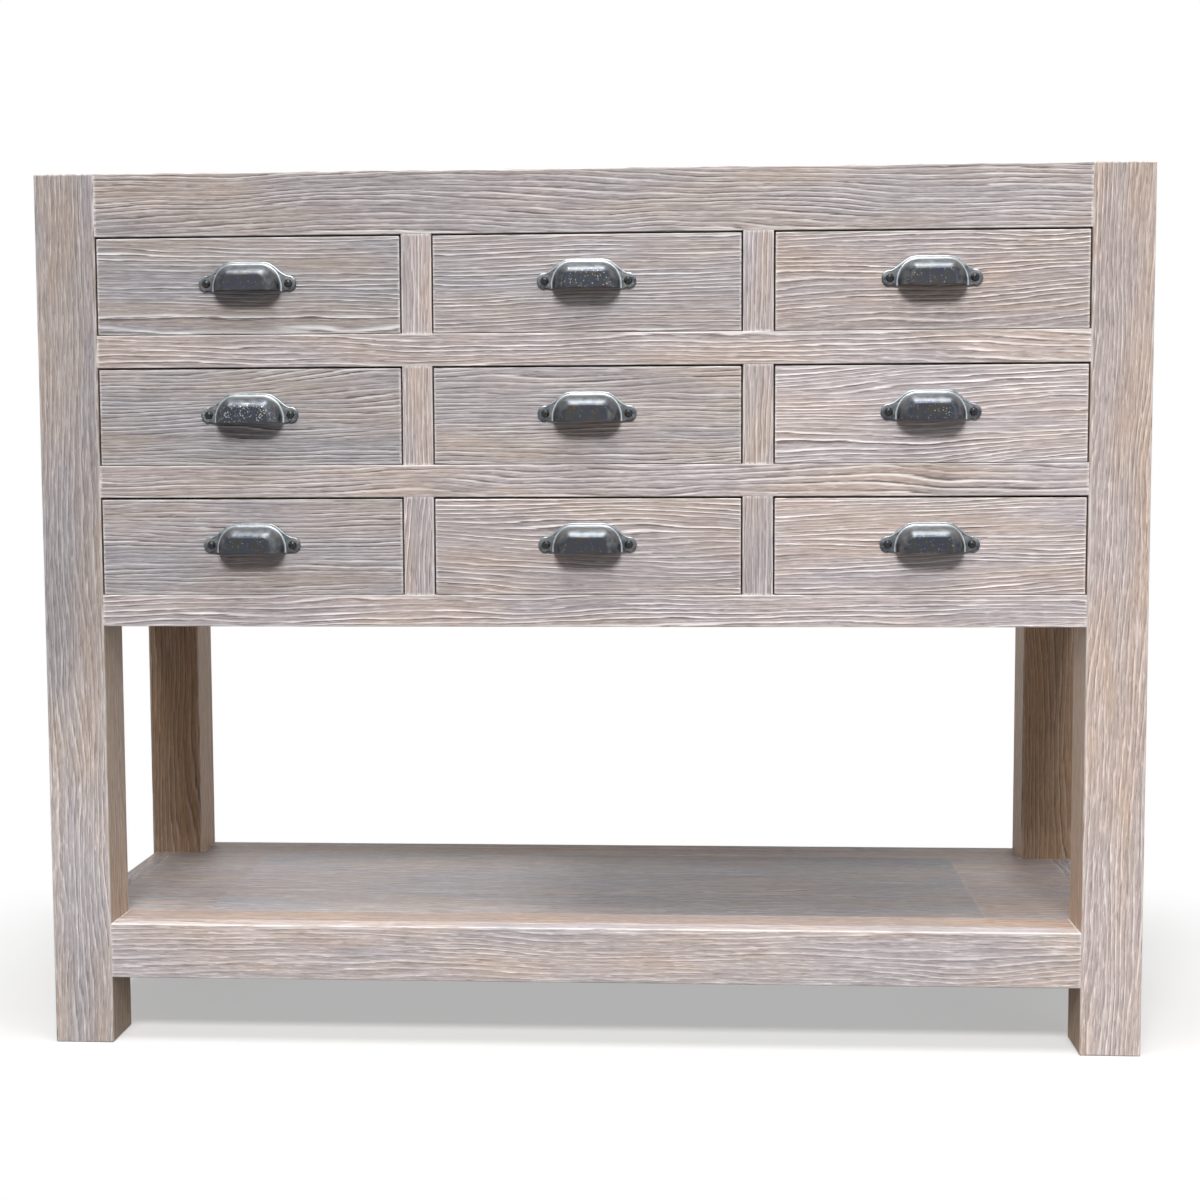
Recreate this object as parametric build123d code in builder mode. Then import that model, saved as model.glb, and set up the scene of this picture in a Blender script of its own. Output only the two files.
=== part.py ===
"""Floor-standing chest of nine drawers over an open shelf, in millimetres.

The front faces -Y and +Z is up. The origin lies on the floor, at the centre of the
whole footprint with the cup pulls counted in.
"""

import os
from math import sqrt

from build123d import *

# Overall sizes, leg face to leg face
overall_width = 1100.0
overall_depth = 405.0
overall_height = 880.0

# Legs and rails
leg_size = 60.0
leg_arris = 2.0
rail_thickness = 22.0
top_rail_height = 62.0
drawer_rail_height = 32.0
shelf_rail_height = 56.0
shelf_height = 124.0
front_setback = 1.0
side_setback = 3.0
rear_setback = 1.0
rail_arris = 1.0

# Drawer openings
row_names = ("top", "middle", "bottom")
column_names = ("left", "centre", "right")
opening_height = 97.5
stile_width = 30.0

# Mortise and tenon joints
tenon_length = 30.0
tenon_thickness = 8.0
tenon_shoulder = 8.0
tenon_fit = 0.1
tenon_end_gap = 1.0
stub_length = 9.0
stub_shoulder = 5.0
stub_end_gap = 0.5

# Panels, boards and the cleats that carry them
side_panel_thickness = 10.0
panel_tongue = 6.0
panel_end_gap = 0.5
panel_fit = 0.1
back_panel_thickness = 5.0
back_rabbet_lip = 15.0
top_thickness = 20.0
shelf_board_thickness = 18.0
shelf_board_count = 4
board_gap = 0.4
cleat_size = 20.0

# Runners, guides and stops
runner_ledge = 20.0
guide_height = 18.0
guide_inset = 0.5
stop_height = 16.0
stop_thickness = 12.0
slide_clearance = 0.3
drawer_back_room = 31.0

# Drawers
drawer_setback = 1.0
drawer_side_gap = 1.5
drawer_top_gap = 2.0
drawer_bottom_gap = 0.6
front_thickness = 18.0
front_arris = 1.0
front_lap = 6.0
side_thickness = 12.0
side_height = 78.0
box_back_thickness = 12.0
box_back_inset = 8.0
box_bottom_thickness = 5.0
box_bottom_lift = 8.0
groove_depth = 5.0
dado_depth = 4.0
tail_count = 3
tail_root_width = 15.0
tail_slope_share = 1 / 7

# Cup pulls
pull_projection = 21.0
pull_height = 29.4
pull_raise = 8.8
pull_wall = 2.0
ear_radius = 8.0
flange_thickness = 2.5
flange_corner = 8.0
flange_top_half = 17.0
lip_lift = 0.4
cup_half_width = 35.5
cup_height = 26.2
cup_side_radius = 9.0
cup_corner_radius = 12.0
cup_top_half = 18.0
cup_top_draw = 10.4
cup_side_draw = 13.5
cup_corner_draw = 9.5
cup_depth_shares = (0.0, 0.4, 0.7, 0.9, 1.0)

# Pull screws
screw_pitch = 82.0
screw_shank_radius = 1.7
screw_length = 15.0
screw_point = 3.0
screw_hole_clearance = 0.1
screw_ear_clearance = 0.4
screw_head_radius = 4.1
screw_head_height = 2.8
recess_length = 4.4
recess_width = 0.9
recess_depth = 1.3

# Length by which every cut runs past the face it opens
overrun = 1.0

# Planes and places that the pieces share
half_width = overall_width / 2
inner_x = half_width - leg_size
pull_reach = pull_projection - drawer_setback
front_y = -(overall_depth - pull_reach) / 2
back_y = front_y + overall_depth
leg_back_y = front_y + leg_size
rear_leg_front_y = back_y - leg_size
front_rail_front_y = front_y + front_setback
front_rail_back_y = front_rail_front_y + rail_thickness
front_rail_mid_y = front_rail_front_y + rail_thickness / 2
rear_rail_back_y = back_y - rear_setback - back_panel_thickness
rear_rail_front_y = rear_rail_back_y - rail_thickness
rear_rail_mid_y = rear_rail_front_y + rail_thickness / 2
shelf_rear_back_y = back_y - rear_setback
shelf_rear_front_y = shelf_rear_back_y - rail_thickness
shelf_rear_mid_y = shelf_rear_front_y + rail_thickness / 2
side_rail_outer_x = half_width - side_setback
side_rail_inner_x = side_rail_outer_x - rail_thickness
side_rail_mid_x = side_rail_outer_x - rail_thickness / 2
side_panel_inner_x = side_rail_mid_x - side_panel_thickness / 2

# Drawer rows from the top down, and columns from left to right
column_count = len(column_names)
opening_width = (2 * inner_x - (column_count - 1) * stile_width) / column_count
column_pitch = opening_width + stile_width
row_pitch = opening_height + drawer_rail_height
top_rail_low = overall_height - top_rail_height
row_floors = [top_rail_low - opening_height - row * row_pitch for row in range(len(row_names))]
column_centres = [(column - (column_count - 1) / 2) * column_pitch for column in range(column_count)]
stile_centres = [centre + column_pitch / 2 for centre in column_centres[:-1]]
case_bottom = row_floors[-1] - drawer_rail_height
side_panel_low = case_bottom + drawer_rail_height
shelf_rail_low = shelf_height - shelf_rail_height

# Heights of the rails
top_span = (top_rail_low, overall_height)
row_spans = [(floor - drawer_rail_height, floor) for floor in row_floors]
bottom_span = row_spans[-1]
shelf_span = (shelf_rail_low, shelf_height)

# Runner widths: one at each end and one behind each line of stiles
runner_spans = [(-inner_x, -inner_x + runner_ledge)]
for stile_centre in stile_centres:
    reach = stile_width / 2 + runner_ledge
    runner_spans.append((stile_centre - reach, stile_centre + reach))
runner_spans.append((inner_x - runner_ledge, inner_x))

# Drawer sizes, seen from the middle of the opening's floor at the drawer's face
drawer_face_y = front_y + drawer_setback
drawer_width = opening_width - 2 * drawer_side_gap
drawer_length = rear_rail_front_y - drawer_face_y - drawer_back_room
box_half_inside = drawer_width / 2 - side_thickness
box_top = slide_clearance + side_height
box_bottom_low = slide_clearance + box_bottom_lift
box_bottom_high = box_bottom_low + box_bottom_thickness
box_back_end = drawer_length - box_back_inset
box_back_start = box_back_end - box_back_thickness
tail_length = front_thickness - front_lap
front_low = drawer_bottom_gap
front_high = opening_height - drawer_top_gap
pull_low = (front_low + front_high) / 2 + pull_raise - pull_height / 2
lip_height = pull_low + lip_lift
screw_height = pull_low + ear_radius
screw_places = [(-screw_pitch / 2, screw_height), (screw_pitch / 2, screw_height)]


def block(low, high, mode=Mode.ADD):
    """Add or cut a square block between two opposite corners."""
    sizes = [far - near for near, far in zip(low, high)]
    middle = [(far + near) / 2 for near, far in zip(low, high)]
    with Locations(tuple(middle)):
        Box(*sizes, mode=mode)


def rail_along_x(front, back, tenon_y, span):
    """Rail between two legs across the chest, with a tenon on each end."""
    low, high = span
    half_tenon = tenon_thickness / 2
    tenon_end = inner_x + tenon_length
    block((-inner_x, front, low), (inner_x, back, high))
    fillet(edges(Select.LAST).filter_by(Axis.X), rail_arris)
    block(
        (-tenon_end, tenon_y - half_tenon, low + tenon_shoulder),
        (tenon_end, tenon_y + half_tenon, high - tenon_shoulder),
    )


def rail_along_y(span):
    """Left-hand rail between a front and a rear leg, with a tenon on each end."""
    low, high = span
    half_tenon = tenon_thickness / 2
    block((-side_rail_outer_x, leg_back_y, low), (-side_rail_inner_x, rear_leg_front_y, high))
    fillet(edges(Select.LAST).filter_by(Axis.Y), rail_arris)
    block(
        (-side_rail_mid_x - half_tenon, leg_back_y - tenon_length, low + tenon_shoulder),
        (-side_rail_mid_x + half_tenon, rear_leg_front_y + tenon_length, high - tenon_shoulder),
    )


def mortise_along_x(tenon_y, span):
    """Mortise in the inner face of a left leg for a rail across the chest."""
    low, high = span
    half = tenon_thickness / 2 + tenon_fit
    block(
        (-inner_x - tenon_length - tenon_end_gap, tenon_y - half, low + tenon_shoulder - tenon_fit),
        (-inner_x + overrun, tenon_y + half, high - tenon_shoulder + tenon_fit),
        mode=Mode.SUBTRACT,
    )


def mortise_along_y(face_y, inward, span):
    """Mortise in a left leg's front or back face for a side rail."""
    low, high = span
    half = tenon_thickness / 2 + tenon_fit
    ends = sorted((face_y - inward * overrun, face_y + inward * (tenon_length + tenon_end_gap)))
    block(
        (-side_rail_mid_x - half, ends[0], low + tenon_shoulder - tenon_fit),
        (-side_rail_mid_x + half, ends[1], high - tenon_shoulder + tenon_fit),
        mode=Mode.SUBTRACT,
    )


def panel_groove(face_y, inward):
    """Upright groove in a left leg's front or back face for the side panel."""
    half = side_panel_thickness / 2 + panel_fit
    ends = sorted((face_y - inward * overrun, face_y + inward * panel_tongue))
    block(
        (-side_rail_mid_x - half, ends[0], side_panel_low - panel_tongue),
        (-side_rail_mid_x + half, ends[1], top_rail_low + panel_tongue),
        mode=Mode.SUBTRACT,
    )


def stile_mortise(x, face_z, inward):
    """Mortise for a stile's stub in the lower or upper face of a front rail."""
    half_x = stile_width / 2 - stub_shoulder + tenon_fit
    half_y = tenon_thickness / 2 + tenon_fit
    ends = sorted((face_z - inward * overrun, face_z + inward * (stub_length + stub_end_gap)))
    block(
        (x - half_x, front_rail_mid_y - half_y, ends[0]),
        (x + half_x, front_rail_mid_y + half_y, ends[1]),
        mode=Mode.SUBTRACT,
    )


def runner_mortises(face_y, inward, span):
    """Mortises for the runners' stubs along the inner face of a rail."""
    middle = sum(span) / 2
    half_z = tenon_thickness / 2 + tenon_fit
    ends = sorted((face_y - inward * overrun, face_y + inward * (stub_length + stub_end_gap)))
    for left, right in runner_spans:
        block(
            (left + stub_shoulder - tenon_fit, ends[0], middle - half_z),
            (right - stub_shoulder + tenon_fit, ends[1], middle + half_z),
            mode=Mode.SUBTRACT,
        )


def leg_notches(low_z, high_z):
    """Clear the four legs out of a panel or board that reaches past them."""
    reach = half_width + overrun
    edge = inner_x - board_gap
    for left, right in ((-reach, -edge), (edge, reach)):
        for near, far in (
            (front_y - overrun, leg_back_y + board_gap),
            (rear_leg_front_y - board_gap, back_y + overrun),
        ):
            block((left, near, low_z - overrun), (right, far, high_z + overrun), mode=Mode.SUBTRACT)


def save(shape, name):
    """Label a finished piece and write it to its own file."""
    shape.label = name
    export_step(shape, f"parts/{name}.step")


os.makedirs("parts", exist_ok=True)

# Legs: the left ones are cut for every rail and panel, the right ones mirror them
with BuildPart() as front_left_leg:
    block((-half_width, front_y, 0), (-inner_x, leg_back_y, overall_height))
    fillet(front_left_leg.edges(), leg_arris)
    for leg_span in (top_span, *row_spans, shelf_span):
        mortise_along_x(front_rail_mid_y, leg_span)
    for leg_span in (top_span, bottom_span, shelf_span):
        mortise_along_y(leg_back_y, -1, leg_span)
    panel_groove(leg_back_y, -1)
save(front_left_leg.part, "front_left_leg")

with BuildPart() as front_right_leg:
    mirror(front_left_leg.part, about=Plane.YZ)
save(front_right_leg.part, "front_right_leg")

with BuildPart() as rear_left_leg:
    block((-half_width, rear_leg_front_y, 0), (-inner_x, back_y, overall_height))
    fillet(rear_left_leg.edges(), leg_arris)
    for leg_span in (top_span, *row_spans):
        mortise_along_x(rear_rail_mid_y, leg_span)
    mortise_along_x(shelf_rear_mid_y, shelf_span)
    for leg_span in (top_span, bottom_span, shelf_span):
        mortise_along_y(rear_leg_front_y, 1, leg_span)
    panel_groove(rear_leg_front_y, 1)
save(rear_left_leg.part, "rear_left_leg")

with BuildPart() as rear_right_leg:
    mirror(rear_left_leg.part, about=Plane.YZ)
save(rear_right_leg.part, "rear_right_leg")

# Front frame: top rail, one rail under each drawer row, and the stiles between drawers
with BuildPart() as front_top_rail:
    rail_along_x(front_rail_front_y, front_rail_back_y, front_rail_mid_y, top_span)
    for stile_x in stile_centres:
        stile_mortise(stile_x, top_rail_low, 1)
save(front_top_rail.part, "front_top_rail")

row_rail_names = ("upper_drawer_rail", "lower_drawer_rail", "front_bottom_rail")
for row_rail_name, row_span in zip(row_rail_names, row_spans):
    with BuildPart() as row_rail:
        rail_along_x(front_rail_front_y, front_rail_back_y, front_rail_mid_y, row_span)
        runner_mortises(front_rail_back_y, -1, row_span)
        for stile_x in stile_centres:
            stile_mortise(stile_x, row_span[1], -1)
            if row_span is not bottom_span:
                stile_mortise(stile_x, row_span[0], 1)
    save(row_rail.part, row_rail_name)

with BuildPart() as drawer_stiles:
    for floor in row_floors:
        for stile_x in stile_centres:
            half_stile = stile_width / 2
            half_stub = half_stile - stub_shoulder
            half_tongue = tenon_thickness / 2
            block(
                (stile_x - half_stile, front_rail_front_y, floor),
                (stile_x + half_stile, front_rail_back_y, floor + opening_height),
            )
            fillet(edges(Select.LAST).filter_by(Axis.Z), rail_arris)
            block(
                (stile_x - half_stub, front_rail_mid_y - half_tongue, floor - stub_length),
                (stile_x + half_stub, front_rail_mid_y + half_tongue, floor + opening_height + stub_length),
            )
save(drawer_stiles.part, "drawer_stiles")

# Rear rails: the top one overhangs the back panel, the others carry the runners
rear_rails = []
with BuildPart() as rear_top_rail:
    rail_along_x(rear_rail_front_y, shelf_rear_back_y, rear_rail_mid_y, top_span)
    block(
        (-inner_x - overrun, rear_rail_back_y, top_rail_low - overrun),
        (inner_x + overrun, shelf_rear_back_y + overrun, overall_height - back_rabbet_lip),
        mode=Mode.SUBTRACT,
    )
rear_rails.append(rear_top_rail.part)
for row_span in row_spans:
    with BuildPart() as rear_row_rail:
        rail_along_x(rear_rail_front_y, rear_rail_back_y, rear_rail_mid_y, row_span)
        runner_mortises(rear_rail_front_y, 1, row_span)
    rear_rails.append(rear_row_rail.part)
save(Compound(children=rear_rails), "rear_rails")

with BuildPart() as back_panel:
    back_panel_top = overall_height - back_rabbet_lip - board_gap
    block(
        (-inner_x + board_gap, rear_rail_back_y, case_bottom),
        (inner_x - board_gap, rear_rail_back_y + back_panel_thickness, back_panel_top),
    )
save(back_panel.part, "back_panel")

# Sides: two rails and a panel held in grooves between them and the legs
with BuildPart() as left_side_rails:
    rail_along_y(top_span)
    rail_along_y(bottom_span)
    half_groove = side_panel_thickness / 2 + panel_fit
    for groove_low, groove_high in (
        (top_rail_low - overrun, top_rail_low + panel_tongue),
        (side_panel_low - panel_tongue, side_panel_low + overrun),
    ):
        block(
            (-side_rail_mid_x - half_groove, leg_back_y - overrun, groove_low),
            (-side_rail_mid_x + half_groove, rear_leg_front_y + overrun, groove_high),
            mode=Mode.SUBTRACT,
        )
save(left_side_rails.part, "left_side_rails")

with BuildPart() as right_side_rails:
    mirror(left_side_rails.part, about=Plane.YZ)
save(right_side_rails.part, "right_side_rails")

with BuildPart() as left_side_panel:
    half_panel = side_panel_thickness / 2
    tongue = panel_tongue - panel_end_gap
    block(
        (-side_rail_mid_x - half_panel, leg_back_y - tongue, side_panel_low - tongue),
        (-side_rail_mid_x + half_panel, rear_leg_front_y + tongue, top_rail_low + tongue),
    )
save(left_side_panel.part, "left_side_panel")

with BuildPart() as right_side_panel:
    mirror(left_side_panel.part, about=Plane.YZ)
save(right_side_panel.part, "right_side_panel")

# Top panel, let in flush between the rails and notched round the legs
with BuildPart() as top_panel:
    top_low = overall_height - top_thickness
    top_edge = side_rail_inner_x - board_gap
    block(
        (-top_edge, front_rail_back_y + board_gap, top_low),
        (top_edge, rear_rail_front_y - board_gap, overall_height),
    )
    leg_notches(top_low, overall_height)
save(top_panel.part, "top_panel")

# Shelf: a frame of four rails with boards let in flush
with BuildPart() as shelf_front_rail:
    rail_along_x(front_rail_front_y, front_rail_back_y, front_rail_mid_y, shelf_span)
save(shelf_front_rail.part, "shelf_front_rail")

with BuildPart() as shelf_rear_rail:
    rail_along_x(shelf_rear_front_y, shelf_rear_back_y, shelf_rear_mid_y, shelf_span)
save(shelf_rear_rail.part, "shelf_rear_rail")

with BuildPart() as shelf_end_rails:
    rail_along_y(shelf_span)
    mirror(about=Plane.YZ)
save(shelf_end_rails.part, "shelf_end_rails")

shelf_boards = []
shelf_board_low = shelf_height - shelf_board_thickness
shelf_room = shelf_rear_front_y - front_rail_back_y - board_gap
shelf_board_pitch = shelf_room / shelf_board_count
shelf_board_edge = side_rail_inner_x - board_gap
for board in range(shelf_board_count):
    board_front = front_rail_back_y + board_gap + board * shelf_board_pitch
    board_back = board_front + shelf_board_pitch - board_gap
    with BuildPart() as shelf_board:
        block(
            (-shelf_board_edge, board_front, shelf_board_low),
            (shelf_board_edge, board_back, shelf_height),
        )
        leg_notches(shelf_board_low, shelf_height)
    shelf_boards.append(shelf_board.part)
save(Compound(children=shelf_boards), "shelf_boards")

# Cleats under the top panel and under the shelf boards, fixed to the rails
with BuildPart() as panel_cleats:
    for cleat_top, rear_face in (
        (overall_height - top_thickness, rear_rail_front_y),
        (shelf_board_low, shelf_rear_front_y),
    ):
        cleat_low = cleat_top - cleat_size
        block(
            (-inner_x, front_rail_back_y, cleat_low),
            (inner_x, front_rail_back_y + cleat_size, cleat_top),
        )
        block((-inner_x, rear_face - cleat_size, cleat_low), (inner_x, rear_face, cleat_top))
        for left, right in (
            (-side_rail_inner_x, -side_rail_inner_x + cleat_size),
            (side_rail_inner_x - cleat_size, side_rail_inner_x),
        ):
            block((left, leg_back_y, cleat_low), (right, rear_leg_front_y, cleat_top))
save(panel_cleats.part, "panel_cleats")

# Runners that carry the drawers, stub-tenoned into the front and rear rails
with BuildPart() as drawer_runners:
    for low, high in row_spans:
        tongue_low = (low + high - tenon_thickness) / 2
        for left, right in runner_spans:
            block((left, front_rail_back_y, low), (right, rear_rail_front_y, high))
            block(
                (left + stub_shoulder, front_rail_back_y - stub_length, tongue_low),
                (right - stub_shoulder, rear_rail_front_y + stub_length, tongue_low + tenon_thickness),
            )
save(drawer_runners.part, "drawer_runners")

# Guides that keep each drawer straight, on the runners and along the side panels
with BuildPart() as drawer_guides:
    for floor in row_floors:
        for stile_x in stile_centres:
            half_guide = stile_width / 2 - guide_inset
            block(
                (stile_x - half_guide, front_rail_back_y, floor),
                (stile_x + half_guide, rear_rail_front_y, floor + guide_height),
            )
        for left, right in (
            (-side_panel_inner_x, -inner_x - guide_inset),
            (inner_x + guide_inset, side_panel_inner_x),
        ):
            block((left, leg_back_y, floor), (right, rear_leg_front_y, floor + guide_height))
save(drawer_guides.part, "drawer_guides")

# Stop blocks on the runners, one behind each drawer side
with BuildPart() as drawer_stops:
    stop_front = drawer_face_y + drawer_length + slide_clearance
    for floor in row_floors:
        for centre in column_centres:
            outer = opening_width / 2 - drawer_side_gap
            inner = opening_width / 2 - runner_ledge
            for left, right in ((centre - outer, centre - inner), (centre + inner, centre + outer)):
                block((left, stop_front, floor), (right, stop_front + stop_thickness, floor + stop_height))
save(drawer_stops.part, "drawer_stops")


def tail_corners(index, fit):
    """Corners of one dovetail in the plane of a drawer side, wider by a fit all round."""
    middle = slide_clearance + side_height * (index + 1 / 2) / tail_count
    root = tail_root_width / 2 + fit
    tip = root + tail_length * tail_slope_share
    return (
        (front_thickness, middle - root),
        (front_lap - fit, middle - tip),
        (front_lap - fit, middle + tip),
        (front_thickness, middle + root),
    )


def bottom_groove(mode):
    """Groove round the drawer's bottom panel, in its sides and its front."""
    edge = box_half_inside + groove_depth
    block(
        (-edge, front_thickness - groove_depth, box_bottom_low - panel_fit),
        (edge, drawer_length + overrun, box_bottom_high + panel_fit),
        mode=mode,
    )


# One drawer, seen from the middle of its opening's floor with its face at y = 0
with BuildPart() as drawer_front:
    block((-drawer_width / 2, 0, front_low), (drawer_width / 2, front_thickness, front_high))
    fillet(drawer_front.faces().sort_by(Axis.Y)[0].edges(), front_arris)
    for socket_plane, toward in (
        (Plane.YZ.offset(-drawer_width / 2), 1),
        (Plane.YZ.offset(drawer_width / 2), -1),
    ):
        with BuildSketch(socket_plane):
            for tail in range(tail_count):
                with BuildLine():
                    Polyline(*tail_corners(tail, tenon_fit), close=True)
                make_face()
        extrude(amount=toward * (side_thickness + tenon_fit), mode=Mode.SUBTRACT)
    bottom_groove(Mode.SUBTRACT)
    with Locations(*[Plane((x, 0, z), z_dir=(0, -1, 0)) for x, z in screw_places]):
        Hole(screw_shank_radius + screw_hole_clearance, depth=screw_length)

with BuildPart() as drawer_left_side:
    with BuildSketch(Plane.YZ.offset(-drawer_width / 2)):
        with Locations(((front_thickness + drawer_length) / 2, slide_clearance + side_height / 2)):
            Rectangle(drawer_length - front_thickness, side_height)
        for tail in range(tail_count):
            with BuildLine():
                Polyline(*tail_corners(tail, 0), close=True)
            make_face()
    extrude(amount=side_thickness)
    bottom_groove(Mode.SUBTRACT)
    block(
        (-box_half_inside - dado_depth, box_back_start - panel_fit, box_bottom_low),
        (-box_half_inside + overrun, box_back_end + panel_fit, box_top + overrun),
        mode=Mode.SUBTRACT,
    )

with BuildPart() as drawer_right_side:
    mirror(drawer_left_side.part, about=Plane.YZ)

with BuildPart() as drawer_back:
    back_edge = box_half_inside + dado_depth - panel_fit
    block((-back_edge, box_back_start, box_bottom_high), (back_edge, box_back_end, box_top))

with BuildPart() as drawer_bottom:
    bottom_edge = box_half_inside + groove_depth - panel_fit
    block(
        (-bottom_edge, front_thickness - groove_depth + panel_fit, box_bottom_low),
        (bottom_edge, box_back_end, box_bottom_high),
    )


def cup_section(depth, draw, wall):
    """Outline of the cup at one depth, mirrored about its lip and drawn in by a share of its draw."""
    half = cup_half_width - cup_side_radius - cup_side_draw * draw
    rise = cup_height - cup_corner_radius - cup_top_draw * draw
    corner = cup_top_half - cup_corner_draw * draw
    with BuildSketch(Plane.XZ.offset(depth)) as outline:
        with Locations((-half, lip_height), (half, lip_height)):
            Circle(cup_side_radius - wall)
        corners = [(side * corner, lip_height + up * rise) for side in (-1, 1) for up in (-1, 1)]
        with Locations(*corners):
            Circle(cup_corner_radius - wall)
        make_hull()
    return outline.sketch


def cup_loft(start, end, wall, mode):
    """Cup whose outline draws in towards its face along a quarter circle."""
    sections = []
    for share in cup_depth_shares:
        depth = start + share * (end - start)
        sections.append(cup_section(depth, 1 - sqrt(1 - share**2), wall))
    loft(sections, mode=mode)


# Cup pull: an open-bottomed cup on a flange with a screw ear at each end
with BuildPart() as drawer_pull:
    cup_loft(0, pull_projection, 0, Mode.ADD)
    block(
        (-cup_half_width - overrun, -pull_projection - overrun, lip_height - cup_height - overrun),
        (cup_half_width + overrun, overrun, lip_height),
        mode=Mode.SUBTRACT,
    )
    with BuildSketch(Plane.XZ):
        with Locations(*screw_places):
            Circle(ear_radius)
        flange_rise = pull_low + pull_height - flange_corner
        with Locations((-flange_top_half, flange_rise), (flange_top_half, flange_rise)):
            Circle(flange_corner)
        make_hull()
    extrude(amount=flange_thickness)
    cup_loft(-overrun, pull_projection - pull_wall, pull_wall, Mode.SUBTRACT)
    with Locations(*[Plane((x, -flange_thickness, z), z_dir=(0, -1, 0)) for x, z in screw_places]):
        Hole(screw_shank_radius + screw_ear_clearance)

# Round-head screw along +Z, its head seated at z = 0
with BuildPart() as screw_blank:
    with BuildSketch(Plane.XZ):
        with BuildLine():
            head_mid_radius = screw_head_radius / sqrt(2)
            head_mid_height = screw_head_height / sqrt(2)
            ThreePointArc(
                (0, screw_head_height),
                (head_mid_radius, head_mid_height),
                (screw_head_radius, 0),
            )
            Polyline(
                (screw_head_radius, 0),
                (screw_shank_radius, 0),
                (screw_shank_radius, screw_point - screw_length),
                (0, -screw_length),
                (0, screw_head_height),
            )
        make_face()
    revolve(axis=Axis.Z)
    for across, along in ((recess_length, recess_width), (recess_width, recess_length)):
        block(
            (-across / 2, -along / 2, screw_head_height - recess_depth),
            (across / 2, along / 2, screw_head_height + overrun),
            mode=Mode.SUBTRACT,
        )

with BuildPart() as drawer_screws:
    with Locations(*[Plane((x, -flange_thickness, z), z_dir=(0, -1, 0)) for x, z in screw_places]):
        add(screw_blank.part)

# The nine drawers, each with its own front, box, pull and screws
box_pieces = (drawer_left_side, drawer_right_side, drawer_back, drawer_bottom)
for row_name, floor in zip(row_names, row_floors):
    for column_name, centre in zip(column_names, column_centres):
        place = Location((centre, drawer_face_y, floor))
        drawer_name = f"{row_name}_{column_name}_drawer"
        save(drawer_front.part.moved(place), f"{drawer_name}_front")
        save(Compound(children=[piece.part.moved(place) for piece in box_pieces]), f"{drawer_name}_box")
        save(drawer_pull.part.moved(place), f"{drawer_name}_pull")
        save(drawer_screws.part.moved(place), f"{drawer_name}_screws")
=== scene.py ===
"""Looks of a floor-standing chest of nine drawers: limed boards, bare pine insides and iron cup pulls.

The CAD pieces are the fixed frame. Every board that shows is a rounded numpy surface in its place,
and carries the way its log was sawn as attributes, from which one shader draws the figure of the wood.
"""

import logging
import math
import zlib
from collections.abc import Sequence
from dataclasses import dataclass, field
from enum import Enum
from itertools import pairwise

import bpy
import numpy as np
from mathutils import Matrix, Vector
from numpy.typing import NDArray


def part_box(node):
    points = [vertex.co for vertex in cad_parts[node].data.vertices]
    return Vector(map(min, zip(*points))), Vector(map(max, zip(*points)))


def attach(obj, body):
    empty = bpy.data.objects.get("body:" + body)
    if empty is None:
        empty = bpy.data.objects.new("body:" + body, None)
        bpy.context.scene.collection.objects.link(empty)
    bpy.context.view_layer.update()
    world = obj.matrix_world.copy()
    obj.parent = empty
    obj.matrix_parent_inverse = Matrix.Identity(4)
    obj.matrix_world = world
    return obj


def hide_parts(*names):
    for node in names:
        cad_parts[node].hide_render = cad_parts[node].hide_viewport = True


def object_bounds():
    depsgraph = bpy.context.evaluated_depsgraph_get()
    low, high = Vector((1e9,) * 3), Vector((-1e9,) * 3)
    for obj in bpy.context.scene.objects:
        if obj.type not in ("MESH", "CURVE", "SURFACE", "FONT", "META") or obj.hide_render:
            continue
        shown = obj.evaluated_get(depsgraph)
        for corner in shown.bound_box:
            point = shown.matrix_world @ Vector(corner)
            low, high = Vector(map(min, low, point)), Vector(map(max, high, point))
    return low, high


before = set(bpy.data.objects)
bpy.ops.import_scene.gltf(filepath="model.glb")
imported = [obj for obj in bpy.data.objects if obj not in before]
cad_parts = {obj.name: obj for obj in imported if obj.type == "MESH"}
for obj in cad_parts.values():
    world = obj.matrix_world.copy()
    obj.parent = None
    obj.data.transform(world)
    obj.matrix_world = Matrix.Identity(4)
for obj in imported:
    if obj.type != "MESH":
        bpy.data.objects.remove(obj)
cad_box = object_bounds()

LOG = logging.getLogger("chest")
MM = 0.001

Array = NDArray[np.float64]
Triple = tuple[float, float, float]
Corner = Triple | Array
Colour = tuple[float, float, float, float]
Stops = tuple[tuple[float, float], ...]
Shades = tuple[float, ...]
Tree = bpy.types.NodeTree
Socket = bpy.types.NodeSocket

WHITE: Colour = (1.0, 1.0, 1.0, 1.0)


class Axis(Enum):
    """A direction of the part's frame, as the number of its coordinate."""

    X = 0
    Y = 1
    Z = 2


class Tone(Enum):
    """How a board's colour leans beside its neighbours, as a factor on each channel."""

    PLAIN = (1.0, 1.0, 1.0)
    COOL = (0.93, 0.95, 0.985)
    SLATE = (0.85, 0.875, 0.9)
    DIM = (0.93, 0.925, 0.925)
    # Grey of the shelf's middle, partly painted shade
    SHADED_GREY = (0.88, 0.92, 0.97)
    FAWN = (1.12, 1.12, 1.13)
    SAND = (1.19, 1.04, 0.92)
    BUFF = (1.37, 1.28, 1.2)
    ROSY = (1.05, 1.01, 0.99)
    TAN = (1.1, 1.02, 0.96)
    PALE = (1.14, 1.11, 1.1)
    WHITE = (1.26, 1.24, 1.25)
    BRIGHT = (1.44, 1.42, 1.42)


class Cut(Enum):
    """How a board was sawn: the pith's distance across and behind it in millimetres, and its lean.

    A quarter-sawn board shows close straight lines, and a rift-sawn one slow waves.
    """

    QUARTER = (110.0, 12.0, 0.02)
    RIFT = (75.0, 32.0, 0.04)


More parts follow.
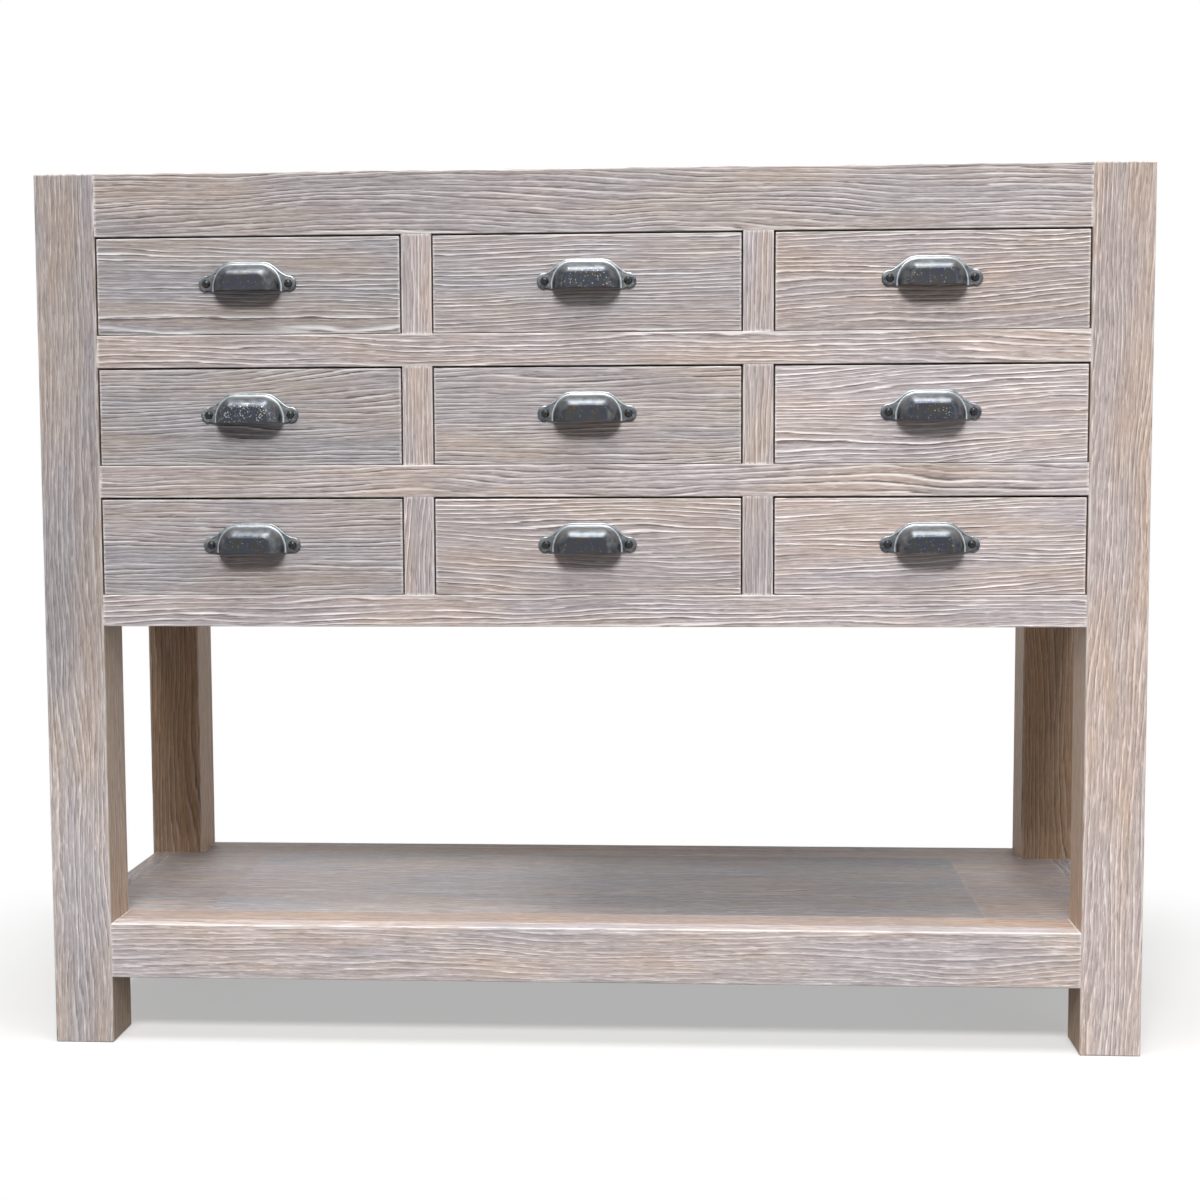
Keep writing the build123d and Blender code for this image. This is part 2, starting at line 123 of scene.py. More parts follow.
def linear(colour: str) -> Colour:
    """Turn an sRGB hex value into linear light.

    Args:
        colour: Value such as "#a09080".

    Returns:
        Red, green and blue in linear light, and full opacity.
    """
    channels = np.array([int(colour[place : place + 2], 16) for place in (1, 3, 5)]) / 255
    straight = np.where(channels <= 0.04045, channels / 12.92, ((channels + 0.055) / 1.055) ** 2.4)
    return (*straight.tolist(), 1.0)


def add(
    tree: Tree,
    kind: str,
    inputs: dict[str | int, object] | None = None,
    stops: Stops = (),
    **settings: object,
) -> bpy.types.Node:
    """Add one shader node, set it up and link it.

    Args:
        tree: Node tree that takes the node.
        kind: Node type without its ShaderNode prefix.
        inputs: Socket name or number to a constant, or to the output that feeds it.
        stops: Places and grey levels of a colour ramp.
        settings: Properties of the node itself.

    Returns:
        The new node.
    """
    node = tree.nodes.new(f"ShaderNode{kind}")
    for name, value in settings.items():
        setattr(node, name, value)
    for number, (place, level) in enumerate(stops):
        elements = node.color_ramp.elements
        # A new ramp has its first and last stop already
        stop = elements[number] if number < 2 else elements.new(place)
        stop.position = place
        stop.color = (level, level, level, 1.0)
    for socket, value in (inputs or {}).items():
        if isinstance(value, Socket):
            tree.links.new(value, node.inputs[socket])
        else:
            node.inputs[socket].default_value = value
    return node


def new_material(name: str) -> tuple[bpy.types.Material, Tree]:
    """Make an empty node material.

    Args:
        name: Name of the real material.

    Returns:
        The material and its node tree.
    """
    material = bpy.data.materials.new(name)
    material.use_nodes = True
    material.node_tree.nodes.clear()
    return material, material.node_tree


@dataclass(frozen=True)
class Levels:
    """Two levels of a pattern, and the two values that they are turned into."""

    start: float
    end: float
    low: float
    high: float

    def of(self, level: Socket) -> dict[str | int, object]:
        """Turn a level of the pattern, straight between the two values and held at them outside.

        Args:
            level: Level of the pattern.

        Returns:
            Inputs of the node that turns it.
        """
        limits = {"From Min": self.start, "From Max": self.end, "To Min": self.low, "To Max": self.high}
        return {"Value": level, **limits}


@dataclass(frozen=True)
class Streaks:
    """Size of a cloudy pattern drawn out along the fibres, in millimetres, and how fine it breaks up."""

    length: float
    width: float
    detail: float = 2.0
    roughness: float = 0.5

    def draw(self, tree: Tree, board: Socket) -> Socket:
        """Draw the pattern on a board.

        Args:
            tree: Node tree that takes the pattern.
            board: Board coordinates in millimetres, fibres along the first one.

        Returns:
            Level from 0 to 1, around 0.5.
        """
        scale = (1 / self.length, 1 / self.width, 1 / self.width)
        drawn = add(tree, "Mapping", {"Vector": board, "Scale": scale})
        finer = {"Detail": self.detail, "Roughness": self.roughness}
        return add(tree, "TexNoise", {"Vector": drawn.outputs[0], "Scale": 1.0, **finer}).outputs[0]


@dataclass(frozen=True)
class LimedOak:
    """Wire-brushed oak rubbed with white lime wax, sizes in millimetres.

    The brush leaves the hard summer wood of each ring as a raised dark line, and the wax stays white
    in the groove beside it. Between them the wood is a dull taupe with tan patches, and the wax is
    thickest along the arrises. Along top edges the extra wax also paints a highlight from above, and
    the barer wood on faces that look into the chest partly paints their shade.
    """

    ring_width: float = 5.0
    growth_band: float = 26.0
    growth_reach: float = 7.0
    bend: Streaks = Streaks(300.0, 70.0, 1.0)
    bend_reach: float = 38.0
    ripple: Streaks = Streaks(75.0, 14.0, 1.5)
    ripple_reach: float = 5.5
    fade: Streaks = Streaks(120.0, 12.0)
    patch: Streaks = Streaks(210.0, 46.0)
    cloud: Streaks = Streaks(120.0, 17.0, 3.0, 0.55)
    # A real fibre is far too thin to show, so the fibres are drawn about one and a half millimetres wide
    fibre: Streaks = Streaks(46.0, 1.5, 3.0, 0.6)
    fleck: Streaks = Streaks(17.0, 1.1)
    pore: Streaks = Streaks(15.0, 1.2)
    rub: Streaks = Streaks(30.0, 4.0)
    ragged: float = 0.5
    relief: float = 0.3
    relief_strength: float = 0.75
    torn_share: float = 0.8
    ior: float = 1.48
    specular: float = 0.32
    taupe: str = "#a29b9d"
    tan: str = "#b5a294"
    ash: str = "#bdb7ba"
    umber: str = "#584e4b"
    wax: str = "#f1ecea"
    raw: str = "#977850"

    # How far each layer covers the ones below it
    tan_cover: float = 0.7
    ash_cover: float = 0.5
    raw_cover: float = 0.95
    summer_cover: float = 0.9
    pore_cover: float = 0.4
    groove_cover: float = 0.92
    fleck_cover: float = 0.6

    # Two levels of a pattern, and the two values that they become
    ring_marks: Levels = Levels(0.0, 1.0, 0.5, 1.0)
    ring_fading: Levels = Levels(0.36, 0.56, 0.22, 1.0)
    fibre_shades: Levels = Levels(0.3, 0.7, 0.74, 1.24)
    fibre_roughness: Levels = Levels(0.0, 1.0, 0.5, 0.78)
    rubbed_wax: Levels = Levels(0.36, 0.62, 0.1, 0.8)
    tan_patches: Levels = Levels(0.4, 0.62, 0.0, 1.0)
    ash_clouds: Levels = Levels(0.44, 0.7, 0.0, 0.75)
    wax_flecks: Levels = Levels(0.56, 0.68, 0.0, 0.6)
    open_pores: Levels = Levels(0.55, 0.68, 0.0, 1.0)

    # Through one year, from 0 to 1: the dark summer wood, the waxed groove and the height of the ridge
    summer_wood: Stops = ((0.0, 0.0), (1.0, 0.0), (0.62, 0.0), (0.7, 0.85), (0.84, 1.0), (0.89, 0.0))
    groove: Stops = ((0.0, 1.0), (1.0, 1.0), (0.11, 0.9), (0.21, 0.0), (0.89, 0.0), (0.94, 1.0))
    ridge: Stops = ((0.0, 0.0), (1.0, 0.0), (0.12, 0.12), (0.6, 0.8), (0.84, 1.0))

    def make(self) -> bpy.types.Material:
        """Build the material from the boards' grain, edge wax and highlight, lime and shade, tone and brush
        attributes.
        """
        material, tree = new_material("wire_brushed_limed_oak")
        board = add(tree, "Attribute", attribute_name="grain").outputs["Vector"]
        # Wax along the arrises, with extra along top edges that paints a highlight from above
        edge = add(tree, "Attribute", attribute_name="edge").outputs["Fac"]
        # Wax on each face, less on faces that look into the chest, which partly paints their shade
        lime_and_shade = add(tree, "Attribute", attribute_name="lime_and_shade").outputs["Fac"]
        tone = add(tree, "Attribute", attribute_name="tone").outputs["Vector"]
        brush = add(tree, "Attribute", attribute_name="brush").outputs["Fac"]
        fibre = self.fibre.draw(tree, board)
        smooth = self.rings(tree, board)
        rings = add(tree, "Math", {0: fibre, 1: self.ragged, 2: smooth}, operation="MULTIPLY_ADD").outputs[0]
        phase = add(tree, "Math", {0: rings}, operation="FRACT").outputs[0]
        number = add(tree, "Math", {0: rings}, operation="FLOOR").outputs[0]
        chance = add(tree, "TexWhiteNoise", {"W": number}, noise_dimensions="1D").outputs["Value"]
        marked = add(tree, "MapRange", self.ring_marks.of(chance))
        shown = add(tree, "MapRange", self.ring_fading.of(self.fade.draw(tree, board)))
        drawn = add(tree, "Math", {0: marked.outputs[0], 1: shown.outputs[0]}, operation="MULTIPLY")
        strength = add(tree, "Math", {0: drawn.outputs[0], 1: brush}, operation="MULTIPLY").outputs[0]
        colour = self.colour(tree, board, phase, strength, lime_and_shade)
        shade = add(tree, "MapRange", self.fibre_shades.of(fibre))
        shaded = add(tree, "VectorMath", {0: colour, "Scale": shade.outputs[0]}, operation="SCALE")
        toned = add(tree, "VectorMath", {0: shaded.outputs[0], 1: tone}, operation="MULTIPLY")
        patchy = add(tree, "MapRange", self.rubbed_wax.of(self.rub.draw(tree, board)))
        worn = add(tree, "Math", {0: edge, 1: patchy.outputs[0]}, operation="MULTIPLY")
        inputs = {0: worn.outputs[0], 6: toned.outputs[0], 7: linear(self.wax)}
        finished = add(tree, "Mix", inputs, data_type="RGBA")
        dull = add(tree, "MapRange", self.fibre_roughness.of(fibre))
        shader = add(
            tree,
            "BsdfPrincipled",
            {
                "Base Color": finished.outputs[2],
                "Roughness": dull.outputs[0],
                "Normal": self.bump(tree, phase, strength, fibre),
                "IOR": self.ior,
                "Specular IOR Level": self.specular,
            },
        )
        add(tree, "OutputMaterial", {"Surface": shader.outputs[0]})
        return material

    def rings(self, tree: Tree, board: Socket) -> Socket:
        """Count the growth rings out from the pith.

        The distance from the pith line is bent by slow and quick clouds along the fibres, and
        stretched by good and poor years, before it is divided by the width of a ring.

        Args:
            tree: Node tree of the wood.
            board: Board coordinates in millimetres, measured from the pith.

        Returns:
            The ring number, whose fraction says how far into its year a point lies.
        """
        across = add(tree, "VectorMath", {0: board, 1: (0.0, 1.0, 1.0)}, operation="MULTIPLY")
        radius = add(tree, "VectorMath", {0: across.outputs[0]}, operation="LENGTH").outputs["Value"]
        inputs = {0: self.bend.draw(tree, board), 1: self.bend_reach, 2: radius}
        bent = add(tree, "Math", inputs, operation="MULTIPLY_ADD")
        inputs = {0: self.ripple.draw(tree, board), 1: self.ripple_reach, 2: bent.outputs[0]}
        rippled = add(tree, "Math", inputs, operation="MULTIPLY_ADD")
        years = add(tree, "Math", {0: rippled.outputs[0], 1: self.growth_band}, operation="DIVIDE")
        inputs = {"W": years.outputs[0], "Scale": 1.0, "Detail": 1.0}
        growth = add(tree, "TexNoise", inputs, noise_dimensions="1D")
        inputs = {0: growth.outputs[0], 1: self.growth_reach, 2: rippled.outputs[0]}
        grown = add(tree, "Math", inputs, operation="MULTIPLY_ADD")
        return add(tree, "Math", {0: grown.outputs[0], 1: self.ring_width}, operation="DIVIDE").outputs[0]

    def colour(
        self,
        tree: Tree,
        board: Socket,
        phase: Socket,
        strength: Socket,
        lime_and_shade: Socket,
    ) -> Socket:
        """Lay the patches, the dark summer wood and the white wax over each other.

        Args:
            tree: Node tree of the wood.
            board: Board coordinates in millimetres.
            phase: How far into its year a point lies.
            strength: How marked that year's ring is.
            lime_and_shade: How much wax the face was given, less on inward faces partly as painted shade.

        Returns:
            The colour before fibres, tone and arrises.
        """
        tanned = add(tree, "MapRange", self.tan_patches.of(self.patch.draw(tree, board)))
        ashen = add(tree, "MapRange", self.ash_clouds.of(self.cloud.draw(tree, board)))
        waxed = add(tree, "MapRange", self.wax_flecks.of(self.fleck.draw(tree, board)))
        pitted = add(tree, "MapRange", self.open_pores.of(self.pore.draw(tree, board)))
        summer = add(tree, "ValToRGB", {"Fac": phase}, self.summer_wood)
        groove = add(tree, "ValToRGB", {"Fac": phase}, self.groove)
        dark = add(tree, "Math", {0: summer.outputs[0], 1: strength}, operation="MULTIPLY")
        white = add(tree, "Math", {0: groove.outputs[0], 1: strength}, operation="MULTIPLY")
        limed = add(tree, "Math", {0: white.outputs[0], 1: lime_and_shade}, operation="MULTIPLY")
        flecked = add(tree, "Math", {0: waxed.outputs[0], 1: lime_and_shade}, operation="MULTIPLY")
        # Raw wood shows where wax is lacking; on faces that look into the chest it partly paints their shade
        bare_and_shade = add(tree, "Math", {0: 1.0, 1: lime_and_shade}, operation="SUBTRACT")
        layers = (
            (tanned.outputs[0], self.tan, self.tan_cover),
            (ashen.outputs[0], self.ash, self.ash_cover),
            (bare_and_shade.outputs[0], self.raw, self.raw_cover),
            (dark.outputs[0], self.umber, self.summer_cover),
            (pitted.outputs[0], self.umber, self.pore_cover),
            (limed.outputs[0], self.wax, self.groove_cover),
            (flecked.outputs[0], self.wax, self.fleck_cover),
        )
        colour: Socket | Colour = linear(self.taupe)
        for level, layer, cover in layers:
            amount = add(tree, "Math", {0: level, 1: cover}, operation="MULTIPLY")
            inputs = {0: amount.outputs[0], 6: colour, 7: linear(layer)}
            colour = add(tree, "Mix", inputs, data_type="RGBA").outputs[2]
        return colour

    def bump(
        self,
        tree: Tree,
        phase: Socket,
        strength: Socket,
        fibre: Socket,
    ) -> Socket:
        """Raise the summer wood and roughen it with the torn fibres.

        Args:
            tree: Node tree of the wood.
            phase: How far into its year a point lies.
            strength: How marked that year's ring is.
            fibre: Level of the fibres.

        Returns:
            The bumped normal.
        """
        ridge = add(tree, "ValToRGB", {"Fac": phase}, self.ridge)
        height = add(tree, "Math", {0: ridge.outputs[0], 1: strength}, operation="MULTIPLY")
        inputs = {0: fibre, 1: self.torn_share, 2: height.outputs[0]}
        torn = add(tree, "Math", inputs, operation="MULTIPLY_ADD")
        inputs = {"Strength": self.relief_strength, "Distance": self.relief * MM, "Height": torn.outputs[0]}
        return add(tree, "Bump", inputs).outputs[0]


@dataclass(frozen=True)
class BarePine:
    """Planed pine left bare inside the case, sizes in millimetres.

    Cream early wood with soft orange summer lines. Boards that face the front run across the chest,
    and the others run from front to back.
    """

    ring_width: float = 5.5
    bend: Streaks = Streaks(320.0, 42.0)
    bend_reach: float = 156.0
    # The fibres are drawn coarser than real ones, which are too thin to show
    fibre: Streaks = Streaks(60.0, 1.6, 3.0, 0.6)
    front_slope: float = 0.7
    honey_cover: float = 0.7
    relief: float = 0.06
    relief_strength: float = 0.5
    ior: float = 1.48
    specular: float = 0.35
    cream: str = "#d9bf95"
    honey: str = "#b98a55"
    fibre_shades: Levels = Levels(0.3, 0.7, 0.86, 1.08)
    fibre_roughness: Levels = Levels(0.0, 1.0, 0.5, 0.7)
    summer_wood: Stops = ((0.0, 0.15), (1.0, 0.15), (0.25, 0.0), (0.85, 0.9))

    def make(self) -> bpy.types.Material:
        """Build the material on Object coordinates, turned by the way each face looks."""
        material, tree = new_material("planed_bare_pine")
        place = add(tree, "TexCoord")
        size = add(tree, "VectorMath", {0: place.outputs["Object"], "Scale": 1 / MM}, operation="SCALE")
        spot = add(tree, "SeparateXYZ", {0: size.outputs[0]}).outputs
        facing = add(tree, "SeparateXYZ", {0: place.outputs["Normal"]}).outputs
        deep = add(tree, "CombineXYZ", {0: spot["Y"], 1: spot["X"], 2: spot["Z"]})
        wide = add(tree, "CombineXYZ", {0: spot["X"], 1: spot["Z"], 2: spot["Y"]})
        front = add(tree, "Math", {0: facing["Y"]}, operation="ABSOLUTE")
        turned = add(tree, "Math", {0: front.outputs[0], 1: self.front_slope}, operation="GREATER_THAN")
        inputs = {0: turned.outputs[0], 4: deep.outputs[0], 5: wide.outputs[0]}
        board = add(tree, "Mix", inputs, data_type="VECTOR").outputs[1]
        bend = self.bend.draw(tree, board)
        fibre = self.fibre.draw(tree, board)
        rings = add(tree, "Math", {0: bend, 1: self.bend_reach / self.ring_width}, operation="MULTIPLY")
        phase = add(tree, "Math", {0: rings.outputs[0]}, operation="FRACT")
        summer = add(tree, "ValToRGB", {"Fac": phase.outputs[0]}, self.summer_wood)
        amount = add(tree, "Math", {0: summer.outputs[0], 1: self.honey_cover}, operation="MULTIPLY")
        inputs = {0: amount.outputs[0], 6: linear(self.cream), 7: linear(self.honey)}
        ringed = add(tree, "Mix", inputs, data_type="RGBA")
        shade = add(tree, "MapRange", self.fibre_shades.of(fibre))
        colour = add(tree, "VectorMath", {0: ringed.outputs[2], "Scale": shade.outputs[0]}, operation="SCALE")
        inputs = {"Strength": self.relief_strength, "Distance": self.relief * MM, "Height": fibre}
        bump = add(tree, "Bump", inputs)
        dull = add(tree, "MapRange", self.fibre_roughness.of(fibre))
        shader = add(
            tree,
            "BsdfPrincipled",
            {
                "Base Color": colour.outputs[0],
                "Roughness": dull.outputs[0],
                "Normal": bump.outputs[0],
                "IOR": self.ior,
                "Specular IOR Level": self.specular,
            },
        )
        add(tree, "OutputMaterial", {"Surface": shader.outputs[0]})
        return material


@dataclass(frozen=True)
class BirchPlywood:
    """Sanded rotary-cut birch plywood of the back panel, sizes in millimetres.

    Peeling the log round its ring gives broad pale flames up the sheet, with short brown pores.
    """

    bend: Streaks = Streaks(420.0, 70.0)
    flames: float = 9.0
    pore: Streaks = Streaks(24.0, 1.3, 1.0)
    relief: float = 0.05
    relief_strength: float = 0.3
    ior: float = 1.48
    specular: float = 0.35
    pale: str = "#cdb38d"
    dark: str = "#b3936a"
    brown: str = "#87684a"
    open_pores: Levels = Levels(0.62, 0.7, 0.0, 0.6)
    pore_roughness: Levels = Levels(0.0, 1.0, 0.5, 0.68)
    flame: Stops = ((0.0, 0.1), (1.0, 0.1), (0.7, 0.7), (0.85, 0.8))

    def make(self) -> bpy.types.Material:
        """Build the material on Object coordinates, with the flames upright."""
        material, tree = new_material("sanded_birch_plywood")
        place = add(tree, "TexCoord").outputs["Object"]
        size = add(tree, "VectorMath", {0: place, "Scale": 1 / MM}, operation="SCALE")
        spot = add(tree, "SeparateXYZ", {0: size.outputs[0]}).outputs
        board = add(tree, "CombineXYZ", {0: spot["Z"], 1: spot["X"], 2: spot["Y"]}).outputs[0]
        bend = self.bend.draw(tree, board)
        pores = self.pore.draw(tree, board)
        rings = add(tree, "Math", {0: bend, 1: self.flames}, operation="MULTIPLY")
        phase = add(tree, "Math", {0: rings.outputs[0]}, operation="FRACT")
        flame = add(tree, "ValToRGB", {"Fac": phase.outputs[0]}, self.flame)
        inputs = {0: flame.outputs[0], 6: linear(self.pale), 7: linear(self.dark)}
        flamed = add(tree, "Mix", inputs, data_type="RGBA")
        pitted = add(tree, "MapRange", self.open_pores.of(pores))
        inputs = {0: pitted.outputs[0], 6: flamed.outputs[2], 7: linear(self.brown)}
        colour = add(tree, "Mix", inputs, data_type="RGBA")
        inputs = {"Strength": self.relief_strength, "Distance": self.relief * MM, "Height": pores}
        bump = add(tree, "Bump", inputs)
        dull = add(tree, "MapRange", self.pore_roughness.of(pores))
        shader = add(
            tree,
            "BsdfPrincipled",
            {
                "Base Color": colour.outputs[2],
                "Roughness": dull.outputs[0],
                "Normal": bump.outputs[0],
                "IOR": self.ior,
                "Specular IOR Level": self.specular,
            },
        )
        add(tree, "OutputMaterial", {"Surface": shader.outputs[0]})
        return material


@dataclass(frozen=True)
class AntiqueIron:
    """Cast iron with a dark antique finish that has rubbed bright, sizes in millimetres.

    Nearly black where it is untouched, silvery along the rims and in specks where hands wore it,
    with a soft broken gloss. The pull's wear attribute also paints highlights and reflections: it
    lightens what looks up, and paints a bright line round the cove.
    """

    blotch: float = 6.0
    blotch_detail: float = 3.0
    blotch_share: float = 0.5
    speck: float = 1.5
    speck_detail: float = 2.0
    chip_share: float = 0.28
    relief: float = 0.05
    relief_strength: float = 0.35
    dark: str = "#42454d"
    bronze: str = "#47433c"
    silver_and_sheen: str = "#bcc3c6"
    browned: Levels = Levels(0.45, 0.7, 0.0, 1.0)
    rubbed: Levels = Levels(0.36, 1.2, 0.0, 0.9)
    chipped: Levels = Levels(0.71, 0.79, 0.0, 0.7)
    gloss: Levels = Levels(0.3, 0.7, 0.3, 0.46)

    def make(self) -> bpy.types.Material:
        """Build the material on Object coordinates and the pull's wear-and-sheen and flakes attributes."""
        material, tree = new_material("rubbed_antique_iron")
        place = add(tree, "TexCoord").outputs["Object"]
        wear_and_sheen = add(tree, "Attribute", attribute_name="wear_and_sheen").outputs["Fac"]
        flakes = add(tree, "Attribute", attribute_name="flakes").outputs["Fac"]
        inputs = {"Vector": place, "Scale": 1 / (self.blotch * MM), "Detail": self.blotch_detail}
        blotches = add(tree, "TexNoise", inputs).outputs[0]
        inputs = {"Vector": place, "Scale": 1 / (self.speck * MM), "Detail": self.speck_detail}
        specks = add(tree, "TexNoise", inputs).outputs[0]
        browned = add(tree, "MapRange", self.browned.of(blotches))
        worn = add(tree, "Math", {0: blotches, 1: self.blotch_share, 2: wear_and_sheen}, operation="MULTIPLY_ADD")
        smooth = add(tree, "MapRange", self.rubbed.of(worn.outputs[0]))
        patchy = add(tree, "Math", {0: flakes, 1: blotches}, operation="MULTIPLY")
        inputs = {0: patchy.outputs[0], 1: self.chip_share, 2: specks}
        flaked = add(tree, "Math", inputs, operation="MULTIPLY_ADD")
        chips = add(tree, "MapRange", self.chipped.of(flaked.outputs[0]))
        bright = add(tree, "Math", {0: smooth.outputs[0], 1: chips.outputs[0]}, operation="MAXIMUM")
        inputs = {0: browned.outputs[0], 6: linear(self.dark), 7: linear(self.bronze)}
        aged = add(tree, "Mix", inputs, data_type="RGBA")
        # Silver paints rubbed metal, and also painted highlights and reflections where the wear attribute
        # carries them
        inputs = {0: bright.outputs[0], 6: aged.outputs[2], 7: linear(self.silver_and_sheen)}
        colour = add(tree, "Mix", inputs, data_type="RGBA")
        gloss = add(tree, "MapRange", self.gloss.of(blotches))
        inputs = {"Strength": self.relief_strength, "Distance": self.relief * MM, "Height": specks}
        bump = add(tree, "Bump", inputs)
        shader = add(
            tree,
            "BsdfPrincipled",
            {
                "Base Color": colour.outputs[2],
                "Metallic": 1.0,
                "Roughness": gloss.outputs[0],
                "Normal": bump.outputs[0],
            },
        )
        add(tree, "OutputMaterial", {"Surface": shader.outputs[0]})
        return material


@dataclass(frozen=True)
class BlackSteel:
    """Black lacquered steel of the pull screws, with a small satin gloss, sizes in millimetres."""

    grit: float = 0.8
    grit_detail: float = 2.0
    black: str = "#131314"
    worn: str = "#232426"
    rubbed: Levels = Levels(0.5, 0.75, 0.0, 1.0)
    gloss: Levels = Levels(0.0, 1.0, 0.2, 0.34)

    def make(self) -> bpy.types.Material:
        """Build the material on Object coordinates."""
        material, tree = new_material("blackened_steel")
        place = add(tree, "TexCoord").outputs["Object"]
        inputs = {"Vector": place, "Scale": 1 / (self.grit * MM), "Detail": self.grit_detail}
        grit = add(tree, "TexNoise", inputs).outputs[0]
        bright = add(tree, "MapRange", self.rubbed.of(grit))
        inputs = {0: bright.outputs[0], 6: linear(self.black), 7: linear(self.worn)}
        colour = add(tree, "Mix", inputs, data_type="RGBA")
        gloss = add(tree, "MapRange", self.gloss.of(grit))
        inputs = {"Base Color": colour.outputs[2], "Roughness": gloss.outputs[0]}
        shader = add(tree, "BsdfPrincipled", inputs)
        add(tree, "OutputMaterial", {"Surface": shader.outputs[0]})
        return material


@dataclass
class Finishes:
    """The materials of the whole chest, made once."""

    limed_oak: bpy.types.Material = field(default_factory=lambda: LimedOak().make())
    bare_pine: bpy.types.Material = field(default_factory=lambda: BarePine().make())
    birch_plywood: bpy.types.Material = field(default_factory=lambda: BirchPlywood().make())
    antique_iron: bpy.types.Material = field(default_factory=lambda: AntiqueIron().make())
    black_steel: bpy.types.Material = field(default_factory=lambda: BlackSteel().make())

    def dress(self, slot: str, *nodes: str) -> None:
        """Give CAD nodes the finish of a material slot.

        Args:
            slot: Name of the material slot.
            nodes: CAD nodes that keep their own shape.
        """
        for name in nodes:
            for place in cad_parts[name].material_slots:
                place.material = getattr(self, slot)
            LOG.info("%s keeps its shape, in %s", name, slot)


@dataclass
class Surface:
    """A closed mesh as whole arrays, with the attributes that its finish reads."""

    points: Array
    faces: NDArray[np.int64]
    normals: Array | None = None
    attributes: dict[str, Array] = field(default_factory=dict)

    sharp_angle = math.radians(42)

    @staticmethod
    def join(surfaces: Sequence["Surface"]) -> "Surface":
        """Put several surfaces of one kind into one mesh.

        Args:
            surfaces: Surfaces with the same attributes.

        Returns:
            One surface, with the faces renumbered.
        """
        starts = np.cumsum([0] + [len(surface.points) for surface in surfaces[:-1]])
        return Surface(
            np.concatenate([surface.points for surface in surfaces]),
            np.concatenate([surface.faces + start for surface, start in zip(surfaces, starts)]),
            np.concatenate([surface.normals for surface in surfaces]),
            {
                name: np.concatenate([surface.attributes[name] for surface in surfaces])
                for name in surfaces[0].attributes
            },
        )

    def piece(
        self, name: str, finishes: Finishes, slot: str, body: str, replaced: Sequence[str]
    ) -> bpy.types.Object:
        """Make the surface an object at the origin that rides on a body.

        Args:
            name: Name of the piece.
            finishes: The chest's materials.
            slot: Material slot that it takes its finish from.
            body: CAD body that it moves with.
            replaced: CAD nodes that it stands for.

        Returns:
            The new object.
        """
        mesh = bpy.data.meshes.new(name)
        mesh.from_pydata(self.points.tolist(), [], self.faces.tolist())
        mesh.polygons.foreach_set("use_smooth", np.ones(len(mesh.polygons), dtype=bool))
        for label, values in self.attributes.items():
            kind, entry = ("FLOAT", "value") if values.ndim == 1 else ("FLOAT_VECTOR", "vector")
            layer = mesh.attributes.new(label, kind, "POINT")
            layer.data.foreach_set(entry, values.astype(np.float32).ravel())
        mesh.materials.append(getattr(finishes, slot))
        if self.normals is None:
            mesh.set_sharp_from_angle(angle=self.sharp_angle)
        else:
            mesh.normals_split_custom_set_from_vertices(self.normals.tolist())
        mesh.update()
        made = bpy.data.objects.new(name, mesh)
        bpy.context.scene.collection.objects.link(made)
        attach(made, body)
        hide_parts(*replaced)
        LOG.info("%s rides on %s with %d faces", name, body, len(self.faces))
        return made


